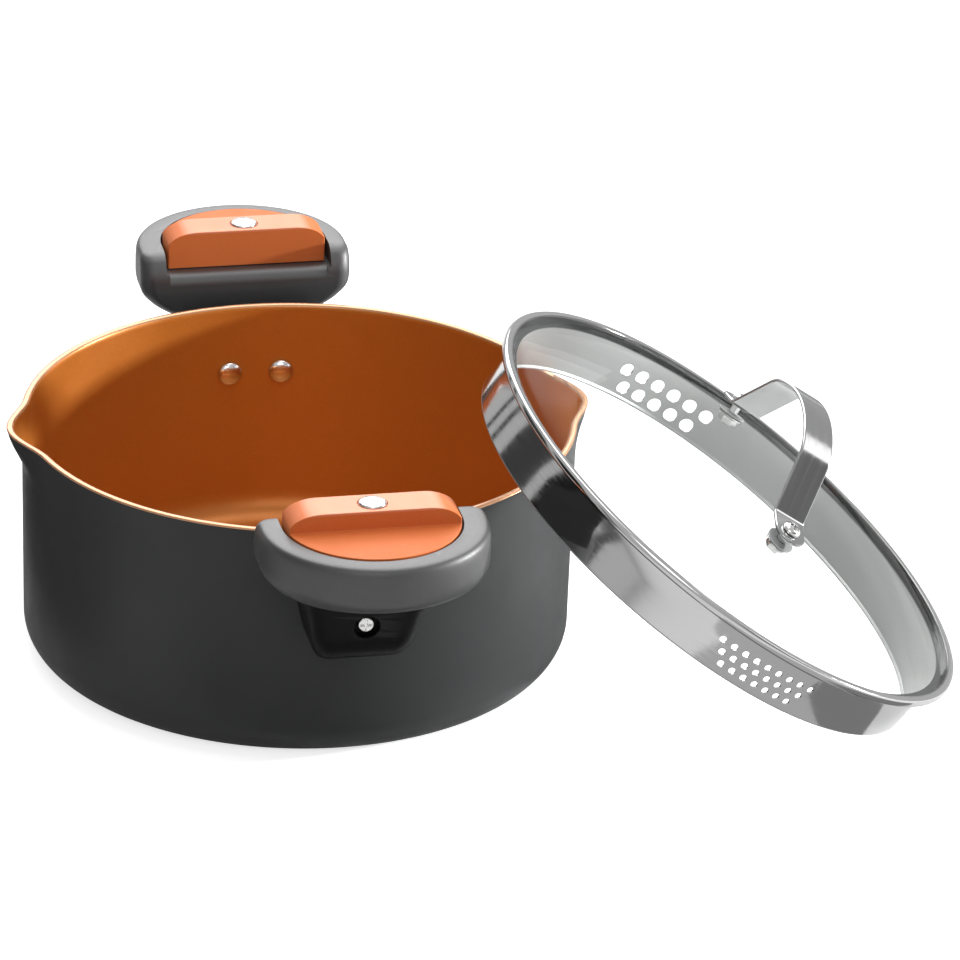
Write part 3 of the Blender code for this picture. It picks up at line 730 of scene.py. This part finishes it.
def make_pot():
    bend, top = POT_HEIGHT - SPOUT_DEPTH, POT_HEIGHT - LIP_DEPTH
    levels = between(BASE_CORNER, bend, 6) + between(bend, top, 12)
    outside = [(0, 0.0), (0.060, 0.0)]
    outside += arc(BASE_RADIUS - BASE_CORNER, BASE_CORNER, BASE_CORNER, BASE_CORNER, -90, 0, 18)
    outside += [(wall_radius(z), z) for z in levels]
    lip = [(r, POT_HEIGHT - depth) for r, depth in LIP]
    inside = [(wall_radius(z) - WALL, z) for z in reversed(levels)]
    corner, centre_z = INSIDE_CORNER, FLOOR + INSIDE_CORNER
    inside += arc(wall_radius(centre_z) - WALL - corner, centre_z, corner, corner, 0, -90, 18)
    inside += [(0.070, FLOOR), (0.035, FLOOR), (0, FLOOR)]
    zones = [0] * len(outside) + [2] * (len(lip) - 1) + [1] * len(inside)
    pot = lathe("pot_shell", outside + lip + inside, POT_SIDES, bulge=spout, zones=zones)
    dress(pot, "pot", "pot_body", "pot_outside", outside_paint(), lining_paint(), rim_paint())


# Handles


def handle_place(side):
    """The handle's own frame. The front one, side -1, is turned half round."""
    return Matrix.Translation((HANDLE_SHIFT, side * PIVOT_RADIUS, 0)) @ Matrix.Diagonal((side, side, 1, 1))


def grip_loop(height, inset, pot_side):
    """Outline of the grip at a height above the rim: half an ellipse, closed with round corners."""
    z = POT_HEIGHT + height
    half = GRIP_HALF_WIDTH - (GRIP_SIDE_TAPER if height < GRIP_TAPER_HEIGHT else 1.0) * inset
    reach = GRIP_REACH - inset
    corner = min(GRIP_CORNER, -pot_side * 0.5)
    outline = arc(0, 0, half, reach, 0, 180, 72)
    outline += arc(-half + corner, pot_side + corner, corner, corner, 180, 270, 10)
    outline += arc(half - corner, pot_side + corner, corner, corner, 270, 360, 10)
    return [(x + GRIP_OFFSET, y, z) for x, y in outline]


def make_grip(word, place, material):
    """A horseshoe round the knob's pocket, which is open to the pot over a rounded nose."""
    rows = smooth_rows(GRIP_SLICES, 4)
    loops = [grip_loop(height, max(inset, 0.0), pot_side) for height, inset, pot_side in rows]
    grip = loft(word + "_grip_shell", loops, place)
    half = KNOB_RADIUS + POCKET_GAP
    outline = arc(0, 0, half, half, 0, 180, 96) + [(-half, POCKET_OPEN_END), (half, POCKET_OPEN_END)]
    pocket = prism("pocket", outline, 2, GRIP_FLOOR_Z, KNOB_TOP_Z, place)
    bore_low, bore_high = GRIP_BOTTOM_Z - CUTTER_PAST, GRIP_BOTTOM_Z + NUT_BORE_DEPTH
    bore = rod("bore", NUT_BORE_RADIUS, bore_low, bore_high, place=place)
    inner_y, low_z = GRIP_POT_SIDE + POCKET_NOSE, GRIP_FLOOR_Z - POCKET_NOSE
    outer_y, high_z = GRIP_POT_SIDE - CUTTER_PAST, GRIP_FLOOR_Z + CUTTER_PAST / 2
    section = arc(inner_y, low_z, POCKET_NOSE, POCKET_NOSE, 90, 180, 12)
    section += [(outer_y, low_z), (outer_y, high_z), (inner_y, high_z)]
    half = KNOB_RADIUS - 0.0006
    nose = prism("nose", section, 0, -half, half, place)
    cut(grip, [pocket, bore, nose])
    soften(grip, 0.0007, angle=50)
    dress(grip, "pot", word + "_grip", "grip", material)


def ridge_outline():
    """The ridge seen from outside: flat on top with long rounded ends."""
    half = KNOB_RADIUS + CUTTER_PAST
    low, bend = KNOB_BOTTOM_Z - CUTTER_PAST, KNOB_TOP_Z - RIDGE_END_DROP
    right = arc(KNOB_RADIUS - RIDGE_END_WIDTH, bend, RIDGE_END_WIDTH, RIDGE_END_DROP, 90, 0, 24)
    left = [(-x, z) for x, z in reversed(right)]
    return left + right + [(half, bend), (half, low), (-half, low), (-half, bend)]


def make_knob(word, place, material):
    """A disc cut flat towards the pot, stepped down outside its ridge."""
    knob = rod(word + "_knob_shell", KNOB_RADIUS, KNOB_BOTTOM_Z, KNOB_TOP_Z + CUTTER_PAST, KNOB_SIDES, place)
    far, low, high = KNOB_RADIUS + 0.01, 0.10, 0.15
    cut(knob, [prism("outline", ridge_outline(), 1, -far, far, place)], "INTERSECT")
    chord = box("chord", (-far, -far, low), (far, -KNOB_CHORD, high), place)
    step = box("step", (-far, KNOB_CHORD, KNOB_LOW_Z), (far, far, high), place)
    seat = rod("seat", PIN_SEAT_RADIUS, KNOB_TOP_Z - PIN_SEAT_DEPTH, high, FASTENER_SIDES, place)
    cut(knob, [chord, step, seat])
    soften(knob, 0.0008)
    dress(knob, word + "_lock", word + "_knob", "knob", material)


def make_pin(word, place, material):
    """A shank under a low domed cap."""
    low = KNOB_TOP_Z - 0.0004
    profile = [(0, PIN_END_Z), (PIN_RADIUS, PIN_END_Z), (PIN_RADIUS, low)]
    profile += [(PIN_CAP_RADIUS - 0.0002, low), (PIN_CAP_RADIUS, low + 0.0002)]
    profile += arc(0, low + 0.0005, PIN_CAP_RADIUS, PIN_CAP_DOME, 0, 90, 10)[:-1]
    profile += [(0, low + 0.0005 + PIN_CAP_DOME)]
    pin = lathe(word + "_pin_cap", profile, FASTENER_SIDES, place)
    dress(pin, "pot", word + "_pivot_pin", "fastener", material)


def bracket_loop(height, half, reach, corner):
    """Plan of the bracket, its back running into the pot wall, which is cut away later."""
    plan = [(half, BRACKET_BACK)]
    plan += arc(half - corner, reach - corner, corner, corner, 0, 90, 10)
    plan += arc(-half + corner, reach - corner, corner, corner, 90, 180, 10)
    plan += [(-half, BRACKET_BACK)]
    return [(x, y, POT_HEIGHT + height) for x, y in plan]


def screw_aim(place):
    """The bracket screw's own frame: local Z runs outward along its axis."""
    return place @ Matrix.Translation((0, 0, SCREW_Z)) @ Matrix.Rotation(math.radians(-90), 4, "X")


def make_bracket(word, place, material):
    rows = smooth_rows(BRACKET_SLICES, 4)
    bracket = loft(word + "_bracket_shell", [bracket_loop(*row) for row in rows], place)
    wall = [(wall_radius(z) + BRACKET_CLEARANCE, z) for z in (BASE_CORNER, POT_HEIGHT)]
    wall = lathe("wall", [(0, BASE_CORNER)] + wall + [(0, POT_HEIGHT)], POT_SIDES)
    recess = rod("recess", SCREW_RECESS_RADIUS, SCREW_RECESS_FLOOR, 0.010, place=screw_aim(place))
    cut(bracket, [wall, recess])
    soften(bracket, 0.0006, angle=45)
    dress(bracket, "pot", word + "_bracket", "bracket", material)


def cut_cross(screw, size, low, place):
    """Cuts a cross of two slots down to low, and rounds the edges a little."""
    high = 0.010
    cut(screw, [
        box("slot", (-half_x, -half_y, low), (half_x, half_y, high), place)
        for half_x, half_y in ((SLOT_HALF_WIDTH, size), (size, SLOT_HALF_WIDTH))
    ])
    soften(screw, 0.00012, segments=2, angle=50)


def make_bracket_screw(word, place, material):
    aim = screw_aim(place)
    shank, head, bend = 0.0020, 0.0040, 0.0016
    end, under, edge, top = -0.0240, -0.0092, -0.0074, -0.0056
    profile = [(0, end), (shank, end), (shank, under), (head, under), (head, edge - 0.0002)]
    profile += arc(head - bend, edge, bend, bend, 0, 90, 8) + [(0, top)]
    screw = lathe(word + "_screw_head", profile, FASTENER_SIDES, aim)
    cut_cross(screw, 0.0027, -0.0072, aim)
    dress(screw, "pot", word + "_bracket_screw", "fastener", material)


def rivet_place(side, k):
    """Local Z runs outward from the pot axis, through the wall at the rivet."""
    middle = side * (math.pi / 2 - math.asin(HANDLE_SHIFT / RIVET_WALL_RADIUS))
    angle = middle + k * math.asin(RIVET_X / RIVET_WALL_RADIUS)
    out = Vector((math.cos(angle), math.sin(angle), 0))
    across = Vector((-math.sin(angle), math.cos(angle), 0))
    turn = Matrix((across, Vector((0, 0, 1)), out)).transposed().to_4x4()
    return Matrix.Translation((0, 0, RIVET_Z)) @ turn


def make_rivet(word, tag, place, material):
    """A domed head inside the wall, and a shank through it."""
    edge, base, end = 0.1184, 0.1188, 0.1316
    head = arc(0, edge, RIVET_HEAD_RADIUS, RIVET_HEAD_DOME, 270, 360, 12)
    profile = [(0, head[0][1])] + head[1:]
    profile += [(RIVET_HEAD_RADIUS, base), (RIVET_RADIUS, base), (RIVET_RADIUS, end), (0, end)]
    rivet = lathe(word + "_rivet_head_" + tag, profile, FASTENER_SIDES, place)
    dress(rivet, "pot", word + "_rivet_" + tag, "rivet", material)


def make_handles():
    grip, bracket, knob = grip_paint(), bracket_paint(), knob_paint()
    cap, rivet = fastener_paint("fastener", 0.10, 0.25), fastener_paint("rivet", 0.12, 0.22)
    for side, word in ((-1, "front"), (1, "back")):
        place = handle_place(side)
        make_bracket(word, place, bracket)
        make_grip(word, place, grip)
        make_knob(word, place, knob)
        make_pin(word, place, cap)
        make_bracket_screw(word, place, cap)
        for k, tag in ((-1, "a"), (1, "b")):
            make_rivet(word, tag, rivet_place(side, k), rivet)


# The lid


def lid_place():
    """The lid's own frame put into its leaning place: local x runs through both groups of holes."""
    n = direction(LID_AZIMUTH, LID_ELEVATION)
    u = Vector((0, 0, 1)).cross(n).normalized()
    v = n.cross(u)
    x = math.cos(LID_SPIN) * u + math.sin(LID_SPIN) * v
    y = n.cross(x)
    return Matrix.Translation(LID_CENTRE) @ Matrix((x, y, n)).transposed().to_4x4()


def strainer_holes():
    """(angle, depth, radius, sides) of each hole: big ones on +x, small ones on -x."""
    found = []
    for middle, pitch, rows, radius, sides in (
        (0.0, BIG_HOLE_PITCH, BIG_HOLE_ROWS, BIG_HOLE_RADIUS, 36),
        (math.pi, SMALL_HOLE_PITCH, SMALL_HOLE_ROWS, SMALL_HOLE_RADIUS, 24),
    ):
        for count, depth in rows:
            for i in range(count):
                found.append((middle + pitch * (i - (count - 1) / 2), depth, radius, sides))
    return found


def hole_cutter(place):
    """One object with a round rod for each hole, which crosses the skirt."""
    verts, faces = [], []
    for angle, depth, radius, sides in strainer_holes():
        out = Vector((math.cos(angle), math.sin(angle), 0))
        across = Vector((-math.sin(angle), math.cos(angle), 0))
        loops = []
        for reach in HOLE_CUTTER_SPAN:
            spots = [out * reach + across * radius * math.cos(t) for t in turns(sides)]
            loops.append([(p.x, p.y, radius * math.sin(t) - depth) for p, t in zip(spots, turns(sides))])
        faces += joined(loops, len(verts))
        verts += loops[0] + loops[1]
    return new_object("holes", verts, faces, place)


def make_band(place, outer, shaded_inner_steel):
    """The spun steel band: skirt, rolled bead, seat for the glass and the skirt's turned-in hem."""
    inner, low = SKIRT_RADIUS - SKIRT_WALL, -SKIRT_DEPTH
    neck, fillet = -BEAD_DEPTH - 0.0005, 0.0005
    profile = [(SKIRT_RADIUS, low + 0.0008), (SKIRT_RADIUS, SKIRT_MIDDLE_Z), (SKIRT_RADIUS, neck)]
    profile += arc(SKIRT_RADIUS + fillet, neck, fillet, fillet, 180, 90, 3)
    profile += [(0.1236, -BEAD_DEPTH)] + arc(*BEAD_CENTRE, BEAD_HALF_WIDTH, BEAD_HALF_HEIGHT, -90, 90, 14)
    profile += [(0.1214, -0.0001)] + arc(SEAT_RADIUS + 0.0006, -0.0009, 0.0006, 0.0008, 90, 180, 4)
    profile += [(SEAT_RADIUS, SEAT_Z), (inner, SEAT_Z)]
    turned = len(profile) - 1
    profile += [(inner, SKIRT_MIDDLE_Z), (inner, low + 0.0016)]
    profile += [(0.1163, low + 0.0012)] + arc(0.11625, low + 0.0006, 0.00055, 0.0006, 90, 270, 8)
    profile += [(0.1172, low)] + arc(0.1171, low + 0.0006, 0.0006, 0.0006, -90, 0, 4)
    # zone 1, from the glass seat down the skirt's inside, takes the darker copy of the steel, which is
    # painted shade
    zones = [0] * turned + [1] * (len(profile) - turned)
    band = lathe("lid_rim_band", profile, LID_SIDES, place, closed=True, zones=zones)
    cut(band, [hole_cutter(place)])
    dress(band, "lid", "lid_band", "lid_steel", outer, shaded_inner_steel)


def dome(r, radius=DOME_RADIUS):
    """Height of the dome's surface of this radius at distance r from the axis."""
    return DOME_HEIGHT - DOME_RADIUS + math.sqrt(radius * radius - r * r)


def foot_place(place, side):
    """Local Z is the glass's own normal at the strap's screw, from its outer surface."""
    spot = Matrix.Translation((side * FOOT_X, 0, dome(FOOT_X)))
    turn = Matrix.Identity(4) if side > 0 else Matrix.Rotation(math.pi, 4, "Z")
    return place @ spot @ turn @ Matrix.Rotation(math.asin(FOOT_X / DOME_RADIUS), 4, "Y")


def make_glass(place):
    """A dome with a flat rim, whose edge fits into the band's seat."""
    steps = [DOME_EDGE * i / 24 for i in range(25)]
    edge = GLASS_RADIUS - GLASS_CORNER
    profile = [(r, dome(r)) for r in steps]
    profile += [(0.1060, 0.0044), (0.1110, 0.0024), (0.1150, 0.0006), (0.1168, -0.0003)]
    profile += [(edge - 0.0002, -0.0003)] + arc(edge, -0.0009, GLASS_CORNER, GLASS_CORNER, 90, 0, 3)
    profile += arc(edge, -0.0021, GLASS_CORNER, GLASS_CORNER, 0, -90, 3)
    profile += [(0.1150, -0.0027), (0.1100, -0.0008), (0.1060, 0.0010)]
    profile += [(r, dome(r, DOME_RADIUS - GLASS_THICKNESS)) for r in reversed(steps)]
    glass = lathe("lid_pane", profile, GLASS_SIDES, place)
    dress(glass, "lid", "lid_glass", "lid_glass", glass_paint())


def rounded(points, radii, steps):
    """A path of straight runs with each corner turned into a short arc."""
    found = [points[0]]
    for before, here, after, radius in zip(points, points[1:], points[2:], radii):
        here = Vector(here)
        back = (Vector(before) - here).normalized()
        ahead = (Vector(after) - here).normalized()
        half = back.angle(ahead) / 2
        run = radius / math.tan(half)
        centre = here + (back + ahead).normalized() * (radius / math.sin(half))
        first, last = here + back * run - centre, here + ahead * run - centre
        for i in range(steps + 1):
            t = i / steps
            found.append(tuple(centre + (first * (1 - t) + last * t).normalized() * radius))
    found.append(points[-1])
    return found


def strap_rows():
    """(x, z, half width) along the strap's middle line, from foot to foot."""
    tilt = math.asin(FOOT_X / DOME_RADIUS)
    along = Vector((math.cos(tilt), -math.sin(tilt)))
    up = Vector((math.sin(tilt), math.cos(tilt)))
    hole = Vector((FOOT_X, dome(FOOT_X))) + up * (FOOT_LIFT + STRAP_THICKNESS / 2)
    arch = []
    for x in [0.0] + between(0, STRAP_ARCH_REACH, 10):
        arch.append((x, STRAP_TOP - STRAP_SAG * (x / STRAP_REACH) ** 2))
    shoulder = (STRAP_REACH, STRAP_TOP - STRAP_SAG)
    foot = [tuple(hole - along * back) for back in (FOOT_BEND_BACK, FOOT_FLAT_BACK)]
    path = arch[:-1] + rounded([arch[-1], shoulder, *foot], STRAP_BENDS, 14)
    rows = [(x, z, STRAP_HALF_WIDTH) for x, z in path]
    for degrees in (*range(0, 84, 6), 82):
        t = math.radians(degrees)
        spot = hole + along * (STRAP_HALF_WIDTH * math.sin(t))
        rows.append((spot.x, spot.y, STRAP_HALF_WIDTH * math.cos(t)))
    return [(-x, z, w) for x, z, w in reversed(rows[1:])] + rows


def make_strap(place, material):
    """A flat strip with rounded edges along the strap's middle line."""
    rows = strap_rows()
    edge = arc(0, 0, STRAP_EDGE, 1.0, 90, -90, 6)
    loops = []
    for k, (x, z, w) in enumerate(rows):
        ahead = rows[min(k + 1, len(rows) - 1)]
        behind = rows[max(k - 1, 0)]
        run = Vector((ahead[0] - behind[0], ahead[1] - behind[1])).normalized()
        lift = Vector((-run.y, run.x)) * (STRAP_THICKNESS / 2)
        inset = max(w - STRAP_EDGE, 0.0001)
        flat = max(inset - 0.0006, 0.00005)
        side = [(flat, 1.0)] + [(inset + out, s) for out, s in edge] + [(flat, -1.0)]
        section = side + [(-y, s) for y, s in reversed(side)]
        loops.append([(x + s * lift.x, y, z + s * lift.y) for y, s in section])
    strap = loft("lid_handle_strap", loops, place)
    dress(strap, "lid", "lid_strap", "lid_steel", material)


def make_lid_screw(tag, foot, material):
    low, under = -GLASS_THICKNESS - 0.0062, 0.0029
    profile = [(0, low), (LID_SCREW_RADIUS - 0.0004, low), (LID_SCREW_RADIUS, low + 0.0004)]
    profile += [(LID_SCREW_RADIUS, under), (LID_SCREW_HEAD, under)]
    profile += arc(0, 0.0034, LID_SCREW_HEAD, 0.0022, 0, 90, 12)[:-1] + [(0, 0.0056)]
    screw = lathe("lid_screw_head_" + tag, profile, FASTENER_SIDES, foot)
    cut_cross(screw, 0.0024, 0.0040, foot)
    dress(screw, "lid", "lid_screw_" + tag, "fastener", material)


def make_ring(name, outer, low, high, foot, node, slot, material):
    """A flat ring round the lid's screw, with its outer edges bevelled."""
    edge = min(0.0002, (high - low) / 3)
    profile = [(LID_RING_BORE, low), (outer - edge, low), (outer, low + edge)]
    profile += [(outer, high - edge), (outer - edge, high), (LID_RING_BORE, high)]
    ring = lathe(name, profile, FASTENER_SIDES, foot, closed=True)
    dress(ring, "lid", node, slot, material)


def make_lid_nut(tag, foot, material):
    under = -GLASS_THICKNESS
    nut = rod("lid_hex_nut_" + tag, LID_NUT_RADIUS, under - 0.0057, under - 0.0027, 6, foot)
    cut(nut, [rod("bore", LID_RING_BORE, under - 0.0070, under, place=foot)])
    soften(nut, 0.00025, segments=2)
    dress(nut, "lid", "lid_nut_" + tag, "fastener", material)


def make_lid():
    place = lid_place()
    cap, rubber = fastener_paint("lid_fastener", 0.08, 0.22), seal_paint()
    outer = band_paint("lid_steel", place, 0.63, 1.0, 0.07, 0.15)
    # painted shade: the band's inner surfaces get a darker, less metallic copy of the outer steel
    shaded_inner_steel = band_paint("lid_steel_inner_painted_shade", place, 0.37, 0.58, 0.32, 0.44)
    make_band(place, outer, shaded_inner_steel)
    make_glass(place)
    make_strap(place, strap_paint(place))
    under = -GLASS_THICKNESS
    for side, tag in ((1, "a"), (-1, "b")):
        foot = foot_place(place, side)
        for piece, node, radius, low, high, slot, material in (
            ("lid_foot_pad_", "lid_pad_", 0.0070, 0.0003, 0.0008, "seal", rubber),
            ("lid_under_seal_", "lid_seal_", 0.0066, under - 0.0011, under - 0.0003, "seal", rubber),
            ("lid_under_washer_", "lid_washer_", 0.0062, under - 0.0024, under - 0.0014, "fastener", cap),
        ):
            make_ring(piece + tag, radius, low, high, foot, node + tag, slot, material)
        make_lid_nut(tag, foot, cap)
        make_lid_screw(tag, foot, cap)


# Studio


def put(obj, place, toward):
    """Puts a lamp or card in its place, facing a point."""
    obj.location = place
    obj.rotation_euler = (Vector(toward) - Vector(place)).to_track_quat("-Z", "Y").to_euler()


def make_card(name, width, height, place, toward, glow):
    """A grey card that only reflections see."""
    card = sheet(name, width, height)
    put(card, place, toward)
    card.visible_camera = False
    card.visible_diffuse = False
    card.visible_shadow = False
    card.visible_transmission = False
    card.visible_volume_scatter = False
    paint = Paint(name, grey(1.0), 0.5)
    paint.tree.nodes.remove(paint.shader)
    paint.show(paint.node("ShaderNodeEmission", Strength=glow).outputs[0])
    card.data.materials.append(paint.material)


def seen_directly(nodes, glossy):
    """1 for camera and transmission rays, 0 for light on the object,
    and the glossy share once a gloss has turned the ray."""
    path = nodes.node("ShaderNodeLightPath")
    found = path.outputs["Is Camera Ray"]
    for name in ("Is Glossy Ray", "Is Transmission Ray"):
        found = nodes.math("MAXIMUM", found, path.outputs[name])
    share = nodes.spread(path.outputs["Glossy Depth"], 1.0, glossy, start=0.0, end=1.0)
    return nodes.math("MULTIPLY", found, share)


def make_floor():
    floor = sheet("floor", ROOM_SIZE, ROOM_SIZE)
    floor.location.z = -ROOM_DROP
    paint = Paint("floor", grey(ROOM_SHADE), 0.9)
    paint.set("Specular IOR Level", 0.0)
    paint.set("Emission Color", WHITE)
    seen = seen_directly(paint, ROOM_GLOSSY_SHARE)
    paint.use("Emission Strength", paint.math("MULTIPLY", seen, ROOM_GLOW))
    floor.data.materials.append(paint.material)


def make_world():
    world = bpy.data.worlds.new("studio")
    bpy.context.scene.world = world
    world.use_nodes = True
    nodes = Nodes(world.node_tree)
    glow = nodes.tree.nodes["Background"]
    glow.inputs["Color"].default_value = WHITE
    seen = seen_directly(nodes, WORLD_GLOSSY_SHARE)
    nodes.feed(glow.inputs["Strength"], nodes.spread(seen, WORLD_LIGHT, 1.0, start=0.0, end=1.0))


def make_lamps():
    for name, place, width, height, watts in LAMPS:
        data = bpy.data.lights.new(name, "AREA")
        data.shape = "RECTANGLE"
        data.size = width
        data.size_y = height
        data.energy = watts
        lamp = bpy.data.objects.new(name, data)
        bpy.context.scene.collection.objects.link(lamp)
        put(lamp, place, LAMP_AIM)


def make_cards():
    """Studio cards, which give the steel and the dark coating something to reflect. Two dark ones on the
    floor are painted shadow: the contact shade by the lid and at the pot's foot, as reflections see it.
    """
    for name, azimuth, elevation, width, height, glow in STANDING_CARDS:
        way = direction(math.radians(azimuth), math.radians(elevation))
        make_card(name, width, height, Vector(CARD_AIM) + CARD_DISTANCE * way, CARD_AIM, glow)
    for name, x, y, z, width, height, glow in FLOOR_CARDS:
        make_card(name, width, height, (x, y, z), (x, y, 1.0), glow)
    make_card(*KNOB_CARD)


def make_camera():
    data = bpy.data.cameras.new("camera")
    data.lens = CAMERA_LENS
    data.sensor_width = CAMERA_SENSOR
    data.clip_start = 0.1
    data.clip_end = 30
    camera = bpy.data.objects.new("camera", data)
    bpy.context.scene.collection.objects.link(camera)
    up = CAMERA_RIGHT.cross(CAMERA_FORWARD)
    turn = Matrix((CAMERA_RIGHT, up, -CAMERA_FORWARD)).transposed().to_4x4()
    camera.matrix_world = Matrix.Translation(CAMERA_PLACE) @ turn
    bpy.context.scene.camera = camera


def paint_kept_nodes(frame):
    """Solids that stay as they are: the washers and nuts inside the handles."""
    steel = fastener_paint("inner_fastener", 0.20, 0.35)
    for word in ("front", "back"):
        for kind in ("_pivot_washer", "_pivot_nut"):
            node = frame["nodes"][word + kind]
            node.data.materials.clear()
            node.data.materials.append(steel)


def main():
    for obj in list(bpy.data.objects):
        bpy.data.objects.remove(obj, do_unlink=True)
    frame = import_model()
    make_camera()
    make_pot()
    make_handles()
    make_lid()
    paint_kept_nodes(frame)
    make_floor()
    make_world()
    make_lamps()
    make_cards()
    bpy.context.scene.view_settings.view_transform = "Standard"
    bpy.context.view_layer.update()


main()
